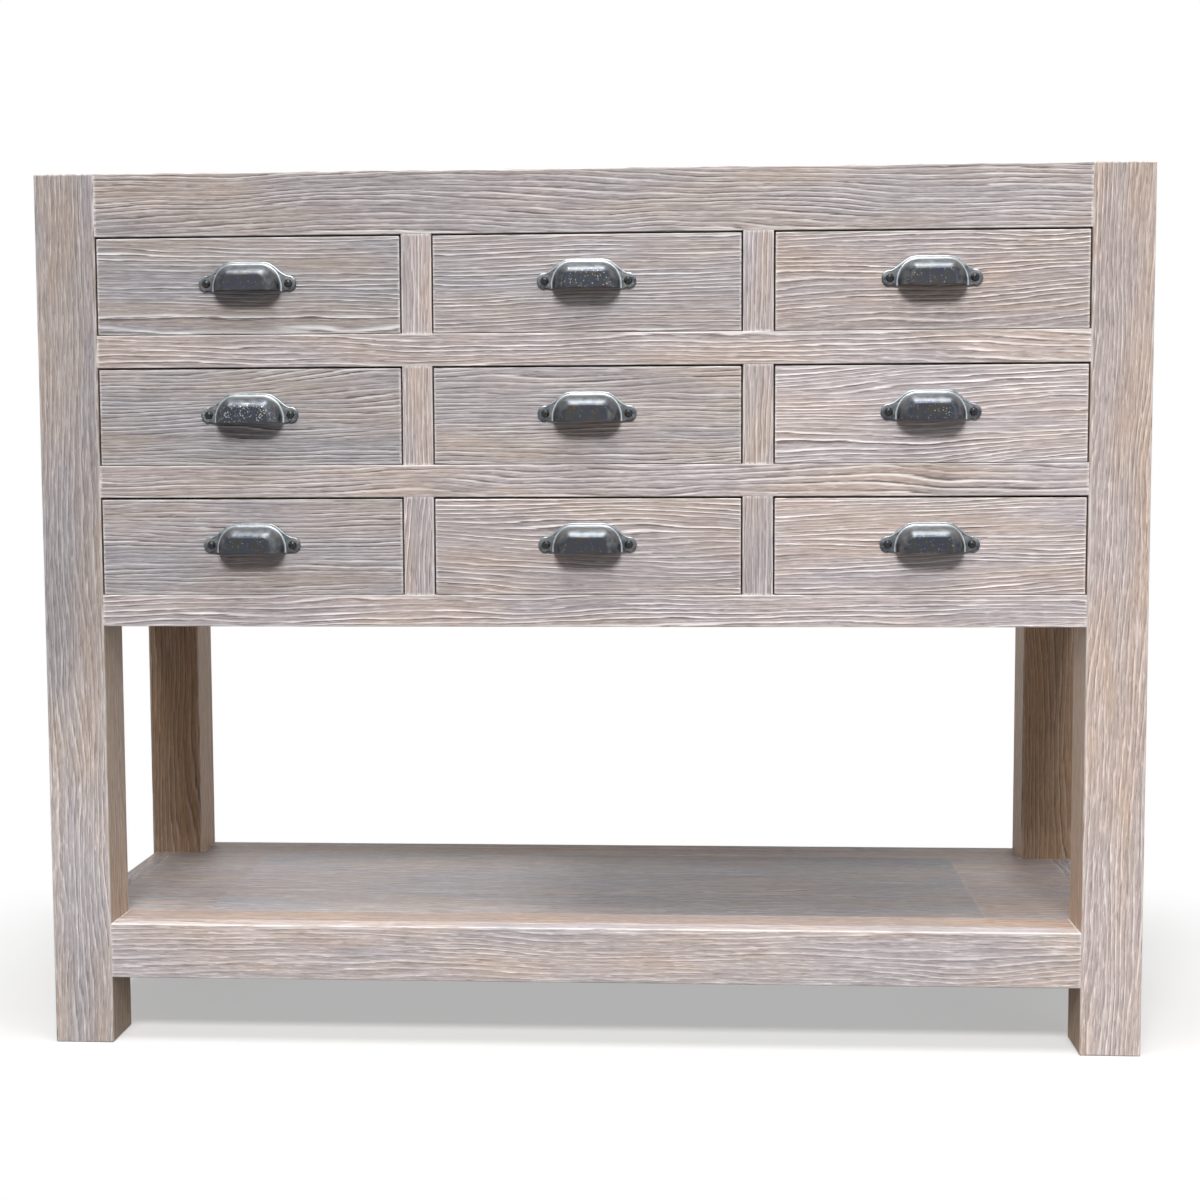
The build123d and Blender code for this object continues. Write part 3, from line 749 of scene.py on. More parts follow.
@dataclass
class Board:
    """A sawn board between two corners, in metres.

    The grain attribute measures, in millimetres, along the fibres and out from the pith of the log,
    which lies somewhere behind the show face and leans a little along the board.

    Attributes:
        name: Name that its log is drawn from.
        low: Lowest corner.
        high: Highest corner.
        along: Direction of the fibres.
        face: Direction that the show face looks along.
        arris: Radius of the rounded edges.
        tone: Lean of its colour.
        inward: Directions that look into the chest and took less wax, which partly paints their shade.
        cut: How it was sawn.
        growth: Factor on the grain, where more means closer rings.
        brush: Strength of the brushed rings.
        edging: Wax along the arrises.
        shades: Factors on its tone at even steps along it.
        sunk: Length of each end that is hidden in a neighbour.
        bare_and_shade: Share of the wax that the inward faces lack; their barer wood partly paints their
            shade.
        top_wax_and_highlight: More wax along the top, which also paints a highlight from above on the top
            arris.
        end_edging: More wax along the ends.
    """

    name: str
    low: Corner
    high: Corner
    along: Axis
    face: Axis
    arris: float = 0.8 * MM
    tone: Tone = Tone.PLAIN
    inward: Sequence[Triple] = ()
    cut: Cut = Cut.QUARTER
    growth: float = 1.0
    brush: float = 1.0
    edging: float = 1.0
    shades: Shades = (1.0,)
    sunk: float = 0.0
    bare_and_shade: float = 0.7
    top_wax_and_highlight: float = 0.0
    end_edging: float = 0.0

    # Grid lines from an edge inwards in arrises, and from a sunk end in reaches of the edge's wax
    edge_steps = np.array([0.0, 0.25, 0.5, 0.75, 1.0, 2.6])
    edge_reach = 2.6 * MM
    edge_limit = 0.45
    sunk_steps = np.array([0.0, 0.3, 0.6, 1.0])
    grid_step = 24 * MM
    wear_share = 0.28
    wave_lengths = np.array([0.071, 0.163, 0.31])
    flat_slope = 0.5
    flat_brush = 0.35

    # What a log is drawn from: factors on the cut's three values, its twist, and where its grain starts
    across_factors = (0.85, 1.3)
    depth_factors = (0.8, 1.3)
    lean_factors = (-1.0, 1.0)
    twists = (-0.03, 0.03)
    log_numbers = (1, 60)
    log_spacing = 2900.0

    def lines(self, axis: int) -> Array:
        """Grid lines along one axis, close together in the rounding and even between."""
        length = self.high[axis] - self.low[axis]
        steps = np.append(self.edge_steps * self.arris, self.edge_reach)
        if self.sunk and axis == self.along.value:
            steps = np.append(steps, self.sunk + self.sunk_steps * self.edge_reach)
        steps = np.unique(steps[steps < self.edge_limit * length].round(6))
        near = self.low[axis] + steps
        far = self.high[axis] - steps[::-1]
        count = max(2, int((far[0] - near[-1]) / self.grid_step) + 2)
        return np.concatenate([near, np.linspace(near[-1], far[0], count)[1:-1], far])

    def surface(self) -> Surface:
        """Round the board's box.

        A point of the box's grid is clamped to the box drawn in by the arris, and pushed back out
        from there by the arris, along the direction to the point. Flats stay where they are, and
        edges and corners become round. The arris swells and shrinks a little along the board.

        Returns:
            The closed surface with its grain, edge wax and highlight, lime and shade, tone and brush
            attributes.
        """
        lines = [self.lines(axis) for axis in range(3)]
        counts = np.array([len(line) for line in lines])
        quads = []
        for axis in range(3):
            first, second = (axis + 1) % 3, (axis + 2) % 3
            over, up = np.meshgrid(np.arange(counts[first]), np.arange(counts[second]), indexing="ij")
            for end in (0, counts[axis] - 1):
                spots = np.empty((*over.shape, 3), dtype=np.int64)
                spots[..., axis] = end
                spots[..., first] = over
                spots[..., second] = up
                keys = (spots[..., 0] * counts[1] + spots[..., 1]) * counts[2] + spots[..., 2]
                ring = [keys[:-1, :-1], keys[1:, :-1], keys[1:, 1:], keys[:-1, 1:]]
                quads.append(np.stack(ring if end else ring[::-1], axis=-1).reshape(-1, 4))
        used, faces = np.unique(np.concatenate(quads), return_inverse=True)
        steps = np.stack(np.unravel_index(used, tuple(counts)), axis=1)
        box = np.stack([lines[axis][steps[:, axis]] for axis in range(3)], axis=1)
        low, high = np.array(self.low), np.array(self.high)
        arris = (self.arris * (1 + self.wear_share * self.waves(box)))[:, None]
        inner = np.clip(box, low + arris, high - arris)
        away = box - inner
        normals = away / np.linalg.norm(away, axis=1, keepdims=True)
        points = inner + arris * normals
        depths = np.minimum(box - low, high - box)
        depths[:, self.along.value] = np.abs(depths[:, self.along.value] - self.sunk)
        depth = np.sort(depths, axis=1)[:, 1]
        # Nearness to the edges, the ends and the top edge; the top edge's extra wax also paints a highlight
        # from above
        near, near_end, near_top_highlight = (
            np.clip(1 - reach / self.edge_reach, 0, 1)
            for reach in (depth, depths[:, self.along.value], high[2] - box[:, 2])
        )
        grain = self.grain(points)
        attributes = {
            "grain": grain,
            "edge": near * (self.edging + self.end_edging * near_end + self.top_wax_and_highlight * near_top_highlight),
            "lime_and_shade": self.lime_and_shade(normals),
            "tone": self.shade(points)[:, None] * np.array(self.tone.value),
            "brush": self.brush * self.raised(grain, normals),
        }
        return Surface(points, faces.reshape(-1, 4), normals, attributes)

    def raised(self, grain: Array, normals: Array) -> Array:
        """Say how far the brush raises the rings of a face.

        It is full where the rings meet the face steeply, and falls off where they lie flat in it, by
        the sine of the angle between the way the face looks and the direction out from the pith.

        Args:
            grain: Millimetres along the fibres, across and behind the pith line.
            normals: Directions that the points face.

        Returns:
            Share of the brushing, from 0 to 1.
        """
        side = 3 - self.along.value - self.face.value
        out = grain[:, 1:] / np.linalg.norm(grain[:, 1:], axis=1, keepdims=True)
        facing = (out * normals[:, [side, self.face.value]]).sum(axis=1)
        steep = np.sqrt(np.clip(1 - facing**2, 0, 1))
        return np.clip(steep / self.flat_slope, self.flat_brush, 1)

    def seed(self) -> int:
        """A number of the board's own, from its name."""
        return zlib.crc32(self.name.encode())

    def shade(self, points: Array) -> Array:
        """Tone along the board, straight between its shades, which stand at even steps."""
        along = self.along.value
        share = (points[:, along] - self.low[along]) / (self.high[along] - self.low[along])
        return np.interp(share, np.linspace(0, 1, len(self.shades)), self.shades)

    def waves(self, box: Array) -> Array:
        """Slow uneven wave along the board, from -1 to 1, as the mean of three sines."""
        reach = box.sum(axis=1)[:, None]
        phases = np.random.default_rng(self.seed()).uniform(0, 2 * np.pi, len(self.wave_lengths))
        return np.sin(2 * np.pi * reach / self.wave_lengths + phases).mean(axis=1)

    def lime_and_shade(self, normals: Array) -> Array:
        """Wax on each point: full outside, less on the faces that look into the chest, which partly paints
        their shade.

        Args:
            normals: Directions that the points face.

        Returns:
            Share of the wax, from 0 to 1.
        """
        if not self.inward:
            return np.ones(len(normals))
        return 1 - self.bare_and_shade * np.clip((normals @ np.array(self.inward).T).max(axis=1), 0, 1)

    def grain(self, points: Array) -> Array:
        """Measure along the fibres and out from the pith.

        Args:
            points: Points of the board, in metres.

        Returns:
            Millimetres along the fibres, across and behind the pith line, for each point.
        """
        log = np.random.default_rng(self.seed())
        side = 3 - self.along.value - self.face.value
        middle = (np.array(self.low) + np.array(self.high)) / 2
        spot = (points - middle) / MM
        across, depth, lean = self.cut.value
        across = log.choice([-1, 1]) * across * log.uniform(*self.across_factors)
        depth = depth * log.uniform(*self.depth_factors)
        lean = lean * log.uniform(*self.lean_factors)
        twist = log.uniform(*self.twists)
        start = log.integers(*self.log_numbers) * self.log_spacing
        fibre = spot[:, self.along.value]
        return np.stack(
            [
                fibre + start,
                self.growth * (spot[:, side] - across - twist * fibre),
                self.growth * (spot[:, self.face.value] - depth - lean * fibre),
            ],
            axis=1,
        )


def boards_piece(
    name: str, boards: Sequence[Board], finishes: Finishes, body: str, replaced: Sequence[str]
) -> bpy.types.Object:
    """Make one limed piece of several boards.

    Args:
        name: Name of the piece.
        boards: Its boards.
        finishes: The chest's materials.
        body: CAD body that it rides on.
        replaced: CAD nodes that it stands for.

    Returns:
        The new object.
    """
    whole = Surface.join([board.surface() for board in boards])
    return whole.piece(name, finishes, "limed_oak", body, replaced)


def spans(node: str) -> tuple[Array, Array]:
    """Lowest and highest corner of a CAD node as arrays."""
    low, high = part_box(node)
    return np.array(low), np.array(high)


@dataclass
class Carcass:
    """Legs, rails, stiles, sides, top and back of the chest, sizes in metres."""

    finishes: Finishes
    body: str = "carcass"
    leg_arris: float = 1.6 * MM
    rail_arris: float = 0.9 * MM
    board_arris: float = 0.5 * MM
    leg_growth: float = 1.1
    leg_brush: float = 0.5
    rear_brush: float = 0.95
    stile_brush: float = 0.62
    # Less wax on the legs' inward faces, whose barer wood partly paints the shade inside the chest
    front_bare_and_shade: float = 0.62
    rear_bare_and_shade: float = 0.72
    rail_brush: float = 1.1
    # Shades of the front rails from left to right: lighter towards the right as painted light falling from
    # the right
    rail_shades_lit_from_right: Shades = (0.91, 1.09)
    # Extra wax along the top rail's and the legs' top edges, which also paints a highlight from above
    crown_wax_and_highlight: float = 0.5
    leg_crown_wax_and_highlight: float = 0.15
    hidden: float = 2.6 * MM
    stile_step: float = 0.3 * MM
    side_gap: float = 1.5 * MM
    board_gap: float = 0.4 * MM
    top_boards: int = 3
    panel_boards: int = 3

    # Tone of each leg, and its shades from the foot up. The right front leg is lighter than the left one
    # partly as painted light from the right
    leg_tones = {
        "front_left_leg": (Tone.PLAIN, (1.24, 1.4, 0.92, 0.92, 0.85)),
        "front_right_leg": (Tone.BUFF, (1.225, 0.775)),
        "rear_left_leg": (Tone.TAN, (1.225, 0.775)),
        "rear_right_leg": (Tone.TAN, (1.15, 0.85)),
    }

    # Tone and cut of each rail across the front
    rail_tones = {
        "front_top_rail": (Tone.DIM, Cut.QUARTER),
        "upper_drawer_rail": (Tone.PALE, Cut.RIFT),
        "lower_drawer_rail": (Tone.PALE, Cut.RIFT),
        "front_bottom_rail": (Tone.WHITE, Cut.QUARTER),
    }

    def __post_init__(self) -> None:
        """Read the places that the boards share from the frame."""
        leg = spans("front_left_leg")[1]
        low, high = spans("front_top_rail")
        self.inner_x = -leg[0]
        self.leg_back = leg[1]
        self.rear_front = spans("rear_left_leg")[0][1]
        self.rail_y = (low[1], high[1])
        self.top_z = (low[2], high[2])
        self.row_z = [
            (spans(rail)[0][2], spans(rail)[1][2])
            for rail in ("upper_drawer_rail", "lower_drawer_rail", "front_bottom_rail")
        ]

    def build(self) -> None:
        """Build every board of the carcass and dress the CAD nodes that stay."""
        self.legs()
        self.front_frame()
        self.sides()
        self.top()
        self.rear()
        self.finishes.dress("birch_plywood", "back_panel")
        self.finishes.dress("bare_pine", "panel_cleats", "drawer_runners", "drawer_guides", "drawer_stops")

    def legs(self) -> None:
        """Four square legs, with less wax on the faces that look into the chest, which partly paints their
        shade.
        """
        for name, (tone, shades) in self.leg_tones.items():
            low, high = spans(name)
            middle = (low + high) / 2
            rear = middle[1] > 0
            inward = [(-math.copysign(1, middle[0]), 0, 0), (0, -math.copysign(1, middle[1]), 0)]
            board = Board(
                name,
                low,
                high,
                Axis.Z,
                Axis.Y,
                self.leg_arris,
                tone,
                inward=inward,
                cut=Cut.RIFT,
                growth=self.leg_growth,
                brush=self.rear_brush if rear else self.leg_brush,
                shades=shades,
                bare_and_shade=self.rear_bare_and_shade if rear else self.front_bare_and_shade,
                top_wax_and_highlight=self.leg_crown_wax_and_highlight,
            )
            boards_piece(name, [board], self.finishes, self.body, [name])

    def front_frame(self) -> None:
        """Rails across the front, run a little into the legs, and the stiles between the drawers."""
        reach = self.inner_x + self.hidden
        for name, (tone, cut) in self.rail_tones.items():
            low, high = spans(name)
            low[0], high[0] = -reach, reach
            board = Board(
                name,
                low,
                high,
                Axis.X,
                Axis.Y,
                self.rail_arris,
                tone,
                cut=cut,
                brush=self.rail_brush,
                shades=self.rail_shades_lit_from_right,
                sunk=self.hidden,
                top_wax_and_highlight=self.crown_wax_and_highlight if name == "front_top_rail" else 0.0,
            )
            boards_piece(name, [board], self.finishes, self.body, [name])
        stiles = []
        tops = [self.top_z[0]] + [low for low, _ in self.row_z[:-1]]
        for row, top, (_, floor) in zip(("top", "middle", "bottom"), tops, self.row_z):
            for before, after in (("left", "centre"), ("centre", "right")):
                start = spans(f"{row}_{before}_drawer_front")[1][0] + self.side_gap
                end = spans(f"{row}_{after}_drawer_front")[0][0] - self.side_gap
                low = (start, self.rail_y[0] + self.stile_step, floor - self.hidden)
                high = (end, self.rail_y[1], top + self.hidden)
                stiles.append(
                    Board(
                        f"{row}_{after}_stile",
                        low,
                        high,
                        Axis.Z,
                        Axis.Y,
                        self.rail_arris,
                        Tone.PALE,
                        growth=self.leg_growth,
                        brush=self.stile_brush,
                        sunk=self.hidden,
                    )
                )
        boards_piece("drawer_stiles", stiles, self.finishes, self.body, ["drawer_stiles"])

    def sides(self) -> None:
        """Two rails and a panel of upright boards on each side, between the legs."""
        low_y, high_y = self.leg_back - self.hidden, self.rear_front + self.hidden
        for side in ("left", "right"):
            rails = []
            rail_low, rail_high = spans(f"{side}_side_rails")
            for label, (bottom, top) in (("upper", self.top_z), ("lower", self.row_z[-1])):
                low, high = (rail_low[0], low_y, bottom), (rail_high[0], high_y, top)
                rails.append(Board(f"{side}_{label}_side_rail", low, high, Axis.Y, Axis.X, self.rail_arris))
            name = f"{side}_side_rails"
            boards_piece(name, rails, self.finishes, self.body, [name])
            panel_low, panel_high = spans(f"{side}_side_panel")
            edges = np.linspace(self.leg_back, self.rear_front, self.panel_boards + 1)
            panel = []
            for number, (start, end) in enumerate(pairwise(edges)):
                low = (panel_low[0], start, self.row_z[-1][1] - self.hidden)
                high = (panel_high[0], end, self.top_z[0] + self.hidden)
                label = f"{side}_panel_board_{number}"
                panel.append(Board(label, low, high, Axis.Z, Axis.X, self.board_arris))
            name = f"{side}_side_panel"
            boards_piece(name, panel, self.finishes, self.body, [name])

    def top(self) -> None:
        """Top panel of glued boards: a short one at the front and the rear, and long ones between."""
        low, high = spans("top_panel")
        short = self.inner_x - self.board_gap
        front, back = self.leg_back + self.board_gap, self.rear_front - self.board_gap
        edges = np.linspace(front, back, self.top_boards + 1)
        strips = [(low[1], edges[0], short)]
        strips += [(start, end, high[0]) for start, end in pairwise(edges)]
        strips += [(edges[-1], high[1], short)]
        boards = []
        for number, (start, end, reach) in enumerate(strips):
            corners = (-reach, start, low[2]), (reach, end, high[2])
            boards.append(Board(f"top_board_{number}", *corners, Axis.X, Axis.Z, self.board_arris))
        boards_piece("top_panel", boards, self.finishes, self.body, ["top_panel"])

    def rear(self) -> None:
        """Rear rails, limed like the top: the uppermost one laps over the back panel."""
        low, high = spans("rear_rails")
        panel_low, panel_high = spans("back_panel")
        reach = self.inner_x + self.hidden
        lip = Board(
            "rear_top_rail",
            (-reach, low[1], panel_high[2] + self.board_gap),
            (reach, high[1], high[2]),
            Axis.X,
            Axis.Z,
            self.rail_arris,
        )
        strips = [(self.top_z[0], panel_high[2] + self.board_gap), *self.row_z]
        rails = [
            Board(f"rear_rail_{number}", (-reach, low[1], bottom), (reach, panel_low[1], top), Axis.X, Axis.Y)
            for number, (bottom, top) in enumerate(strips)
        ]
        boards_piece("rear_rails", [lip, *rails], self.finishes, self.body, ["rear_rails"])


@dataclass
class Shelf:
    """Open shelf near the floor: a frame of rails with boards let in flush, sizes in metres."""

    finishes: Finishes
    body: str = "carcass"
    rail_arris: float = 1.3 * MM
    rail_brush: float = 0.55
    # Extra wax along the rails' top edge, which also paints a highlight from above
    rail_top_wax_and_highlight: float = 1.7
    joint_edging: float = 2.6
    board_arris: float = 0.2 * MM
    board_brush: float = 0.6
    board_edging: float = 0.2
    hidden: float = 2.6 * MM
    middle_rows: int = 3
    end_x: float = 405 * MM
    board_gap: float = 0.2 * MM

    # Tone of the strip between each pair of legs, and its shades from left to right
    front_wood = (Tone.SAND, (1.0, 0.95))
    rear_wood = (Tone.TAN, (1.0,))

    # The same for the left end, the middle and the right end of the shelf. The middle is greyer and darker
    # than the ends and the strips, partly its own tone and partly painted shade of the chest above, and its
    # right half is darker still as painted shade
    column_woods_and_shade = (
        (Tone.FAWN, (1.06, 0.94)),
        (Tone.SHADED_GREY, (1.24, 1.3, 1.33, 1.25, 0.85, 0.77, 0.74, 0.72, 0.78)),
        (Tone.ROSY, (0.8, 1.1)),
    )

    def build(self) -> None:
        """Build the frame and the boards."""
        leg_high = spans("front_left_leg")[1]
        rear_low = spans("rear_left_leg")[0]
        inner_x = -leg_high[0]
        for name in ("shelf_front_rail", "shelf_rear_rail"):
            low, high = spans(name)
            low[0], high[0] = -inner_x - self.hidden, inner_x + self.hidden
            board = Board(
                name,
                low,
                high,
                Axis.X,
                Axis.Y,
                self.rail_arris,
                Tone.BRIGHT,
                cut=Cut.RIFT,
                brush=self.rail_brush,
                sunk=self.hidden,
                top_wax_and_highlight=self.rail_top_wax_and_highlight,
            )
            boards_piece(name, [board], self.finishes, self.body, [name])
        low, high = spans("shelf_end_rails")
        thick = np.ptp([corner[0] for corner in spans("left_side_rails")])
        rails = []
        for side, start in (("left", low[0]), ("right", high[0] - thick)):
            first = (start, leg_high[1] - self.hidden, low[2])
            last = (start + thick, rear_low[1] + self.hidden, high[2])
            rails.append(Board(f"shelf_{side}_rail", first, last, Axis.Y, Axis.X, self.rail_arris))
        boards_piece("shelf_end_rails", rails, self.finishes, self.body, ["shelf_end_rails"])
        self.boards(inner_x, leg_high[1], rear_low[1])

    def boards(self, inner_x: float, leg_back: float, rear_front: float) -> None:
        """Shelf boards: a sandy strip in front, a tan one behind, and grey ones with lighter ends between.
        The grey middle is darker than the strips and the ends partly as painted shade of the chest above.

        Args:
            inner_x: Inner face of the legs.
            leg_back: Back face of the front legs.
            rear_front: Front face of the rear legs.
        """
        low, high = spans("shelf_boards")
        short = inner_x - self.board_gap
        front, back = leg_back + self.board_gap, rear_front - self.board_gap
        rows = np.linspace(front, back, self.middle_rows + 1)
        joints = [low[0], -self.end_x, self.end_x, high[0]]
        front_edges, rear_edges = (low[1], front - self.board_gap), (back + self.board_gap, high[1])
        boards = [
            self.board("front", (-short, short), front_edges, self.front_wood, self.joint_edging),
            self.board("rear", (-short, short), rear_edges, self.rear_wood, self.joint_edging),
        ]
        boards += [
            self.board(f"{row}_{column}", ends, edges, wood)
            for row, edges in enumerate(pairwise(rows))
            for column, (ends, wood) in enumerate(zip(pairwise(joints), self.column_woods_and_shade))
        ]
        boards_piece("shelf_boards", boards, self.finishes, self.body, ["shelf_boards"])

    def board(
        self,
        label: str,
        ends: tuple[float, float],
        edges: tuple[float, float],
        wood: tuple[Tone, Shades],
        end_edging: float = 0.0,
    ) -> Board:
        """Cut one shelf board.

        Args:
            label: Its place on the shelf.
            ends: Its left and right end.
            edges: Its front and rear edge.
            wood: Its tone, and its shades from left to right.
            end_edging: Wax along its ends, beyond that of its edges.

        Returns:
            The board, as thick as the CAD boards.
        """
        low, high = spans("shelf_boards")
        tone, shades = wood
        return Board(
            f"shelf_board_{label}",
            (ends[0], edges[0], low[2]),
            (ends[1], edges[1], high[2]),
            Axis.X,
            Axis.Z,
            self.board_arris,
            tone,
            cut=Cut.RIFT,
            brush=self.board_brush,
            edging=self.board_edging,
            shades=shades,
            end_edging=end_edging,
        )


def evenly(path: Array, count: int) -> Array:
    """Spread points evenly along a path.

    Args:
        path: Corners of the path.
        count: Number of points.

    Returns:
        The points, at equal lengths along the straight lines between the corners.
    """
    length = np.concatenate([[0.0], np.cumsum(np.linalg.norm(np.diff(path, axis=0), axis=1))])
    even = np.linspace(0.0, length[-1], count)
    return np.stack([np.interp(even, length, path[:, axis]) for axis in range(2)], axis=1)


def shell(outer: Array, inner: Array) -> NDArray[np.int64]:
    """Faces of a closed wall between two grids of the same size.

    Args:
        outer: Grid of outer points, layer by layer.
        inner: Grid of inner points that face them.

    Returns:
        Quads over the outer points and then the inner ones: both skins and the four rims.
    """
    layers, count = outer.shape[:2]
    out = np.arange(layers * count).reshape(layers, count)
    back = out + layers * count
    skins = [
        (out[:-1, :-1], out[:-1, 1:], out[1:, 1:], out[1:, :-1]),
        (back[1:, :-1], back[1:, 1:], back[:-1, 1:], back[:-1, :-1]),
        (out[0, 1:], out[0, :-1], back[0, :-1], back[0, 1:]),
        (out[-1, :-1], out[-1, 1:], back[-1, 1:], back[-1, :-1]),
        (out[:-1, 0], out[1:, 0], back[1:, 0], back[:-1, 0]),
        (out[1:, -1], out[:-1, -1], back[:-1, -1], back[1:, -1]),
    ]
    return np.concatenate([np.stack(ring, axis=-1).reshape(-1, 4) for ring in skins])


@dataclass
class CupPull:
    """Cast cup pull with a flange and two screw ears, sizes in metres.

    Its outlines are seen from the front, with x across and z up from its lowest point, and its depths
    stand out from the drawer's face.
    """

    projection: float = 21 * MM
    ear_pitch: float = 82 * MM
    ear_radius: float = 8 * MM
    flange: float = 2.2 * MM
    flange_round: float = 0.9 * MM
    # Insets of the outlines in the flange's rounding and on its flat, in roundings
    round_share: float = 0.3
    flat_share: float = 1.6
    lip: float = 0.4 * MM
    cup_half: float = 33.5 * MM
    cup_height: float = 26.1 * MM
    cup_side: float = 3 * MM
    cup_top_half: float = 14 * MM
    face_square: float = 1.0
    top_draw: float = 10.4 * MM
    side_draw: float = 13.4 * MM
    dome_end: float = 72.0
    # Wear on what looks sideways and in the cove; besides rubbing it paints highlights, and the cove's bright
    # line is a painted reflection
    side_wear_and_sheen: float = 0.4
    cove_wear_and_sheen: float = 0.8
    wall: float = 2 * MM
    cove: float = 1.2 * MM
    # Where the flat gives way to the cove, in coves, and how fast the hollow side rises behind it
    cove_margin: float = 1.5
    inside_rise: float = 0.6
    face_taper: float = 0.25
    flakes: float = 0.15
    ear_turn: float = 0.45 * math.pi
    # Points along an ear, a corner of the cup and a whole outline
    ear_points: int = 40
    corner_points: int = 120
    points: int = 161
    # How many times finer the flange's path is before it is smoothed, and over how many of its points
    fineness: int = 8
    smoothing: int = 48
    # Least step along an outline, so that nothing is divided by zero
    shortest: float = 1e-9
    cove_layers: int = 5
    dome_layers: int = 20

    # Flange's edge from the ear to the top, hollow beside the ear, as x and z in millimetres
    shoulder = np.array([(39.6, 15.6), (35.6, 18.3), (31.4, 21.7), (26.8, 25.3), (21.8, 28.3), (16.5, 29.4)])

    # Wear of the flange from its back to its flat, and of the dome at shares of its depth; on the dome these
    # bands also paint lamp highlights and reflections
    flange_wear_and_sheen = (0.0, 0.3, 0.55, 0.55, 0.46)
    dome_rises = (0.2, 0.4, 0.75, 0.9, 0.965, 0.995)
    dome_wear_and_sheen = (0.75, 0.75, 0.52, 0.3, 0.27, 0.1)

    # How far down the face its outlines lie, as shares of the way to the lip
    face_shares = (0.12, 0.4, 0.7, 1.0)

    def flange_outline(self, inset: float) -> Array:
        """Outline of the flange from one ear's foot over the top to the other's.

        The ear is an arc, the shoulder a row of given points, and each point is then the mean of its
        neighbours, so that the corners run smoothly into each other.

        Args:
            inset: Length by which the outline is drawn in, square to itself.

        Returns:
            Points from the right ear's foot to the left one's.
        """
        turn = np.linspace(-np.pi / 2, self.ear_turn, self.ear_points)
        ear = np.stack([np.cos(turn), np.sin(turn)], axis=1) * self.ear_radius
        right = np.concatenate([ear + (self.ear_pitch / 2, self.ear_radius), self.shoulder * MM])
        path = evenly(np.concatenate([right, right[::-1] * (-1, 1)]), self.fineness * self.points)
        window = np.hanning(self.smoothing)
        pad = self.smoothing // 2
        padded = np.pad(path, ((pad, pad - 1), (0, 0)), mode="edge")
        smooth = [np.convolve(padded[:, axis], window / window.sum(), mode="valid") for axis in range(2)]
        outline = evenly(np.stack(smooth, axis=1), self.points)
        ahead = np.gradient(outline, axis=0)
        ahead /= np.linalg.norm(ahead, axis=1, keepdims=True)
        return outline - inset * np.stack([ahead[:, 1], -ahead[:, 0]], axis=1)

    def cup_outline(self, draw: float, grow: float) -> Array:
        """Outline of the cup above its lip: upright sides, elliptic corners and a flat top.

        A corner is the cosine and the sine of an angle, each raised to a power that falls with the
        draw, so that the corners grow squarer towards the face.

        Args:
            draw: Share of the whole draw towards the face.
            grow: Length by which the outline is larger than the cup's outer skin.

        Returns:
            Points from the right end of the lip over the top to the left end.
        """
        half = self.cup_half - self.side_draw * draw + grow
        rise = self.cup_height - self.top_draw * draw + grow
        side = self.cup_side * (1 - draw)
        turn = np.linspace(0, np.pi / 2, self.corner_points)
        square = 2 / (2 + self.face_square * draw)
        corner = np.stack(
            [
                self.cup_top_half + (half - self.cup_top_half) * np.cos(turn) ** square,
                side + (rise - side) * np.sin(turn) ** square,
            ],
            axis=1,
        )
        right = np.concatenate([[(half, 0.0)], corner])
        return evenly(np.concatenate([right, right[::-1] * (-1, 1)]), self.points) + (0, self.lip)

    def layer(self, outline: Array, depth: float) -> Array:
        """Stand an outline out from the drawer's face by a depth."""
        return np.stack([outline[:, 0], np.full(len(outline), -depth), outline[:, 1]], axis=1)

    def rub_and_light(self, skin: Array) -> Array:
        """Say how much rubbing and painted highlight each point gets: full on what looks up, less on the
        sides.

        Args:
            skin: Grid of outer points, outline by outline.

        Returns:
            Share of the wear and painted sheen, from the upward part of the direction square to each outline.
        """
        ahead = np.gradient(skin, axis=1)[..., [0, 2]]
        up = -ahead[..., 0] / np.maximum(np.linalg.norm(ahead, axis=-1), self.shortest)
        return self.side_wear_and_sheen + (1 - self.side_wear_and_sheen) * np.clip(up, 0, 1)

    def surface(self) -> Surface:
        """Carry the outlines up from the flange's edge, round the cove, over the dome and down the face.

        The dome's depth is the sine, and its draw one less the cosine, of an angle that goes from the
        flange to the face, as on a quarter circle. The face's outline then flattens down to the lip.

        Returns:
            The closed wall, with its lowest point at the origin, and its wear-and-sheen and flakes
            attributes.
        """
        outer, inner, wear_and_sheen = [], [], []
        end = math.radians(self.dome_end)
        start = math.asin((self.flange + self.cove) / self.projection * math.sin(end))
        base_draw = (1 - math.cos(start)) / (1 - math.cos(end))
        mouth = self.cup_outline(base_draw, -self.wall)
        back = self.flange_outline(self.flange_round)
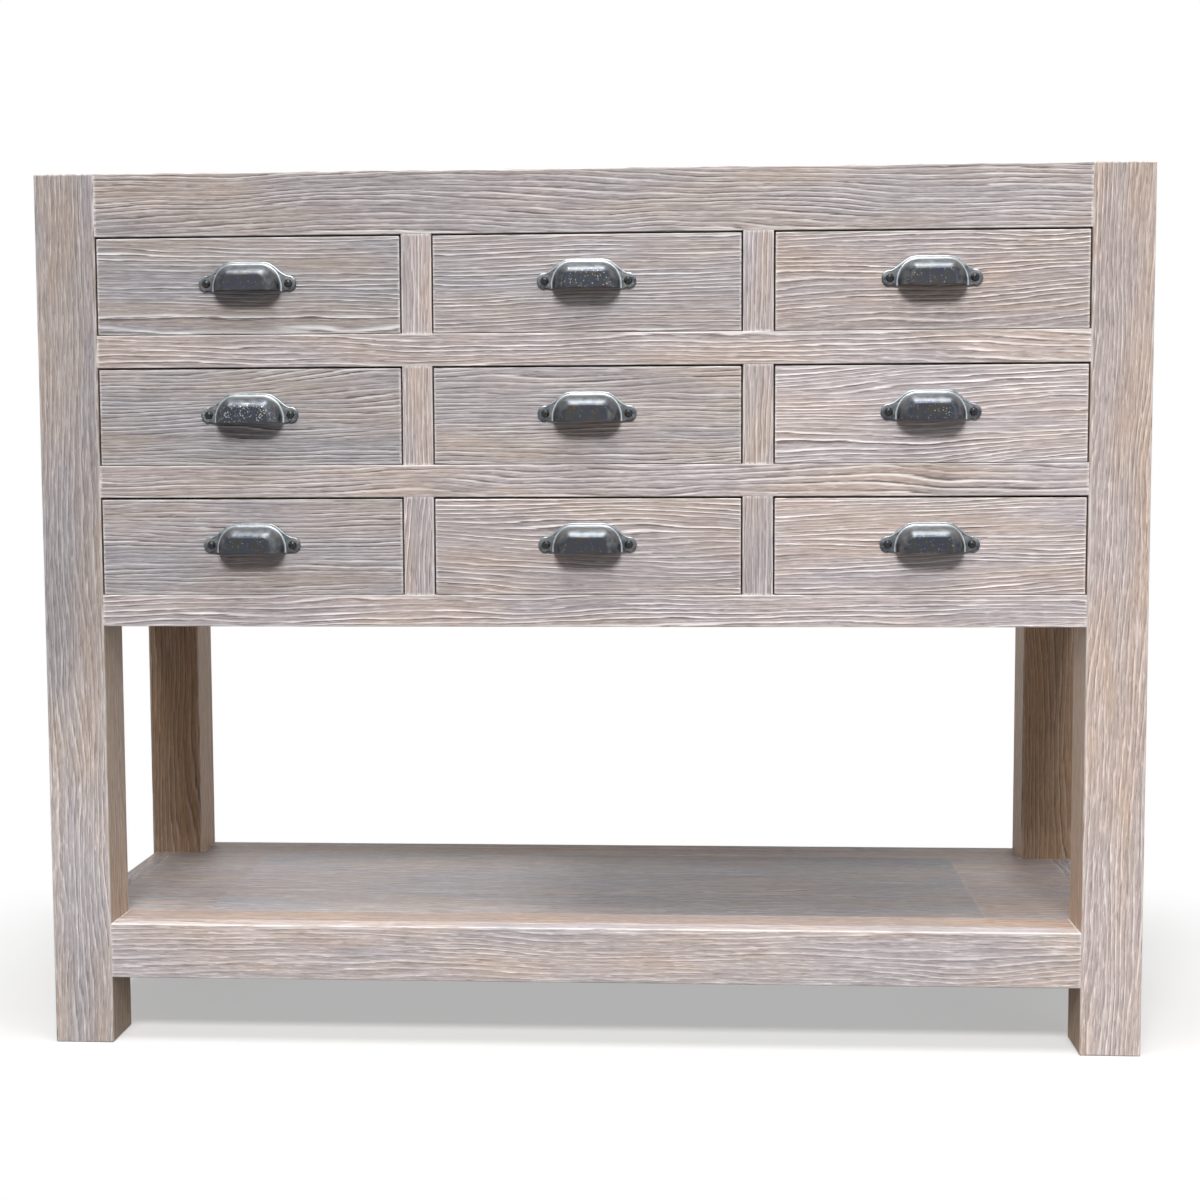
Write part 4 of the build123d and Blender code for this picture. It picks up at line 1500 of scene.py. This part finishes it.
        # Depth and inset of the outlines over the flange's edge
        steps = (
            (0.0, 0.0),
            (self.flange - self.flange_round, 0.0),
            (self.flange - self.round_share * self.flange_round, self.round_share * self.flange_round),
            (self.flange, self.flange_round),
            (self.flange, self.flat_share * self.flange_round),
        )
        for (depth, inset), rub in zip(steps, self.flange_wear_and_sheen):
            outer.append(self.layer(self.flange_outline(inset), depth))
            share = inset / (2 * self.flange_round)
            inner.append(self.layer((1 - share) * back + share * mouth, 0.0))
            wear_and_sheen.append(rub)
        outer.append(self.layer(self.cup_outline(base_draw, self.cove_margin * self.cove), self.flange))
        inner.append(self.layer(mouth, 0.0))
        wear_and_sheen.append(self.flange_wear_and_sheen[-1])
        rim = len(outer)
        for turn in np.linspace(0, np.pi / 2, self.cove_layers):
            grow = self.cove * (1 - math.sin(turn))
            depth = self.flange + self.cove * (1 - math.cos(turn))
            outer.append(self.layer(self.cup_outline(base_draw, grow), depth))
            inner.append(self.layer(mouth, self.flange * self.inside_rise * turn))
            wear_and_sheen.append(self.cove_wear_and_sheen)
        for turn in np.linspace(start, end, self.dome_layers + 1)[1:]:
            draw = (1 - math.cos(turn)) / (1 - math.cos(end))
            rise = math.sin(turn) / math.sin(end)
            outer.append(self.layer(self.cup_outline(draw, 0.0), self.projection * rise))
            inner.append(self.layer(self.cup_outline(draw, -self.wall), (self.projection - self.wall) * rise))
            wear_and_sheen.append(float(np.interp(rise, self.dome_rises, self.dome_wear_and_sheen)))
        foot = np.array([0, self.lip])
        sides = ((outer, 0.0, self.projection), (inner, -self.wall, self.projection - self.wall))
        for share in self.face_shares:
            flatten = np.array([1 - self.face_taper * share, 1 - share])
            for skin, grow, depth in sides:
                skin.append(self.layer((self.cup_outline(1.0, grow) - foot) * flatten + foot, depth))
            wear_and_sheen.append(0.0)
        skins = np.stack(outer), np.stack(inner)
        rub_and_light_share = self.rub_and_light(skins[0])
        # The whole cove is painted bright: rubbed metal and a painted reflection round the dome
        rub_and_light_share[rim : rim + self.cove_layers] = 1.0
        rubbed = (np.array(wear_and_sheen)[:, None] * rub_and_light_share).ravel()
        return Surface(
            np.concatenate([skin.reshape(-1, 3) for skin in skins]),
            shell(*skins),
            attributes={
                "wear_and_sheen": np.concatenate([rubbed, np.zeros(len(rubbed))]),
                "flakes": np.full(2 * len(rubbed), self.flakes),
            },
        )


@dataclass
class Drawer:
    """One drawer: a limed front, a bare pine box, and a cup pull held by two screws."""

    name: str
    tone: Tone
    cut: Cut
    flakes: float
    finishes: Finishes
    arris: float = 0.8 * MM
    end_step: float = 0.1 * MM
    brush: float = 1.15
    growth: float = 1.22

    def build(self) -> None:
        """Build the front and the pull, and dress the box and the screws."""
        front = f"{self.name}_front"
        low, high = spans(front)
        low[0] += self.end_step
        high[0] -= self.end_step
        board = Board(
            front,
            low,
            high,
            Axis.X,
            Axis.Y,
            self.arris,
            self.tone,
            cut=self.cut,
            growth=self.growth,
            brush=self.brush,
        )
        boards_piece(front, [board], self.finishes, self.name, [front])
        pull = f"{self.name}_pull"
        pull_low, pull_high = spans(pull)
        cup = CupPull(flakes=self.flakes).surface()
        cup.points += np.array([(pull_low[0] + pull_high[0]) / 2, pull_high[1], pull_low[2]])
        cup.piece(pull, self.finishes, "antique_iron", self.name, [pull])
        self.finishes.dress("bare_pine", f"{self.name}_box")
        self.finishes.dress("black_steel", f"{self.name}_screws")


def placed(right: Array, up: Array, back: Array, place: Triple) -> Matrix:
    """Matrix of a lamp or camera from its three directions and its place."""
    turn = np.eye(4)
    turn[:3, :4] = np.stack([right, up, back, np.array(place)], axis=1)
    return Matrix(turn.tolist())


@dataclass(frozen=True)
class Lamp:
    """A soft lamp: its place, the point that it faces, its width and height, and its power in watts."""

    name: str
    place: Triple
    target: Triple
    size: tuple[float, float]
    power: float

    def hang(self) -> None:
        """Hang the lamp so that it faces its target, with its width level."""
        light = bpy.data.lights.new(self.name, "AREA")
        light.shape = "RECTANGLE"
        light.size, light.size_y = self.size
        light.energy = self.power
        made = bpy.data.objects.new(self.name, light)
        back = np.array(self.place) - np.array(self.target)
        back = back / np.linalg.norm(back)
        right = np.cross((0.0, 0.0, 1.0), back)
        right = right / np.linalg.norm(right)
        made.matrix_world = placed(right, np.cross(back, right), back, self.place)
        bpy.context.scene.collection.objects.link(made)


@dataclass
class Studio:
    """Pale floor, soft lamps and the camera of the photograph, sizes in metres."""

    camera_place: Triple = (0.11116, -2.00304, 0.59527)
    camera_yaw: float = -0.054611
    camera_pitch: float = -0.076409
    camera_roll: float = 0.003757
    focal_pixels: float = 1829.84
    image_pixels: int = 1200
    sensor: float = 36.0
    floor_reach: float = 9.0
    fill_level: float = 0.07
    floor_white: str = "#f4f3f2"
    floor_grey: str = "#7d7b79"

    # Distance from the chest's box, and how far the floor has turned to plain white there
    shadow: Levels = Levels(0.02, 0.42, 0.4, 1.0)

    lamps: tuple[Lamp, ...] = (
        Lamp("key", (0.0, -4.4, 4.3), (0.0, 0.0, 0.3), (2.6, 1.0), 270.0),
        Lamp("overhead", (0.1, -1.0, 4.2), (0.0, -0.1, 0.3), (2.4, 1.3), 98.0),
        Lamp("side", (2.6, -2.2, 0.9), (0.0, 0.0, 0.4), (1.4, 1.4), 11.0),
        Lamp("rear left", (-2.2, 4.0, 0.6), (0.0, 0.0, 0.5), (3.0, 1.0), 48.0),
        Lamp("rear right", (2.2, 4.0, 0.6), (0.0, 0.0, 0.5), (3.0, 1.0), 48.0),
    )

    def build(self) -> None:
        """Set up the view, the floor, the world, the lamps and the camera."""
        bpy.context.scene.view_settings.view_transform = "Standard"
        self.floor()
        self.world()
        for lamp in self.lamps:
            lamp.hang()
        self.camera()

    def seen_directly(self, tree: Tree) -> Socket:
        """Say whether a ray comes from the camera, a gloss or a glass, as 1 or 0."""
        path = add(tree, "LightPath").outputs
        shown = add(tree, "Math", {0: path["Is Camera Ray"], 1: path["Is Glossy Ray"]}, operation="MAXIMUM")
        inputs = {0: shown.outputs[0], 1: path["Is Transmission Ray"]}
        return add(tree, "Math", inputs, operation="MAXIMUM").outputs[0]

    def floor(self) -> None:
        """Flat floor that shows the shadow near the chest and turns to plain white further out."""
        material, tree = new_material("pale_floor")
        place = add(tree, "TexCoord").outputs["Object"]
        size = add(tree, "VectorMath", {0: place}, operation="ABSOLUTE")
        half = tuple(float(side) for side in (np.array(cad_box[1]) - np.array(cad_box[0])) / 2)
        past = add(tree, "VectorMath", {0: size.outputs[0], 1: half}, operation="SUBTRACT")
        clear = add(tree, "VectorMath", {0: past.outputs[0], 1: (0.0, 0.0, 0.0)}, operation="MAXIMUM")
        away = add(tree, "VectorMath", {0: clear.outputs[0]}, operation="LENGTH").outputs["Value"]
        fade = add(tree, "MapRange", self.shadow.of(away), interpolation_type="SMOOTHSTEP")
        seen = self.seen_directly(tree)
        bright = add(tree, "Math", {0: fade.outputs[0], 1: seen}, operation="MULTIPLY")
        inputs = {0: seen, 6: linear(self.floor_grey), 7: linear(self.floor_white)}
        paint = add(tree, "Mix", inputs, data_type="RGBA")
        matt = add(tree, "BsdfDiffuse", {"Color": paint.outputs[2]})
        white = add(tree, "Emission", {"Color": WHITE, "Strength": 1.0})
        mixed = add(tree, "MixShader", {0: bright.outputs[0], 1: matt.outputs[0], 2: white.outputs[0]})
        add(tree, "OutputMaterial", {"Surface": mixed.outputs[0]})
        corner = self.floor_reach
        mesh = bpy.data.meshes.new("floor")
        square = [(-corner, -corner, 0), (corner, -corner, 0), (corner, corner, 0), (-corner, corner, 0)]
        mesh.from_pydata(square, [], [(0, 1, 2, 3)])
        mesh.materials.append(material)
        made = bpy.data.objects.new("floor", mesh)
        bpy.context.scene.collection.objects.link(made)

    def world(self) -> None:
        """White where it is seen, and a soft even fill where it lights."""
        world = bpy.data.worlds.new("studio")
        world.use_nodes = True
        tree = world.node_tree
        tree.nodes.clear()
        fill = add(tree, "Background", {"Color": WHITE, "Strength": self.fill_level})
        white = add(tree, "Background", {"Color": WHITE, "Strength": 1.0})
        mixed = add(tree, "MixShader", {0: self.seen_directly(tree), 1: fill.outputs[0], 2: white.outputs[0]})
        add(tree, "OutputWorld", {"Surface": mixed.outputs[0]})
        bpy.context.scene.world = world

    def camera(self) -> None:
        """Stand the camera where the photograph was taken from."""
        data = bpy.data.cameras.new("photograph")
        data.sensor_width = self.sensor
        data.lens = self.focal_pixels * self.sensor / self.image_pixels
        yaw, pitch, roll = self.camera_yaw, self.camera_pitch, self.camera_roll
        ahead = np.array([math.sin(yaw) * math.cos(pitch), math.cos(yaw) * math.cos(pitch), math.sin(pitch)])
        level = np.array([math.cos(yaw), -math.sin(yaw), 0.0])
        down = np.cross(ahead, level)
        right = math.cos(roll) * level + math.sin(roll) * down
        low = math.cos(roll) * down - math.sin(roll) * level
        made = bpy.data.objects.new("photograph", data)
        made.matrix_world = placed(right, -low, -ahead, self.camera_place)
        bpy.context.scene.collection.objects.link(made)
        bpy.context.scene.camera = made


# Tone and cut of each front, and how flaked its pull is. The fronts grow lighter from left to right: partly
# their own tones, partly painted light falling from the right
DRAWERS = {
    "top_left_drawer": (Tone.SLATE, Cut.RIFT, 0.2),
    "top_centre_drawer": (Tone.COOL, Cut.QUARTER, 0.55),
    "top_right_drawer": (Tone.ROSY, Cut.RIFT, 0.3),
    "middle_left_drawer": (Tone.SLATE, Cut.QUARTER, 0.85),
    "middle_centre_drawer": (Tone.PLAIN, Cut.QUARTER, 0.15),
    "middle_right_drawer": (Tone.WHITE, Cut.RIFT, 0.3),
    "bottom_left_drawer": (Tone.COOL, Cut.QUARTER, 0.25),
    "bottom_centre_drawer": (Tone.PALE, Cut.RIFT, 0.2),
    "bottom_right_drawer": (Tone.WHITE, Cut.QUARTER, 0.3),
}


def main() -> None:
    """Build the chest in order: carcass, shelf, drawers, and then the studio round it."""
    logging.basicConfig(level=logging.INFO, format="%(name)s: %(message)s")
    finishes = Finishes()
    Carcass(finishes).build()
    Shelf(finishes).build()
    for name, (tone, cut, flakes) in DRAWERS.items():
        Drawer(name, tone, cut, flakes, finishes).build()
    Studio().build()


if __name__ == "__main__":
    main()
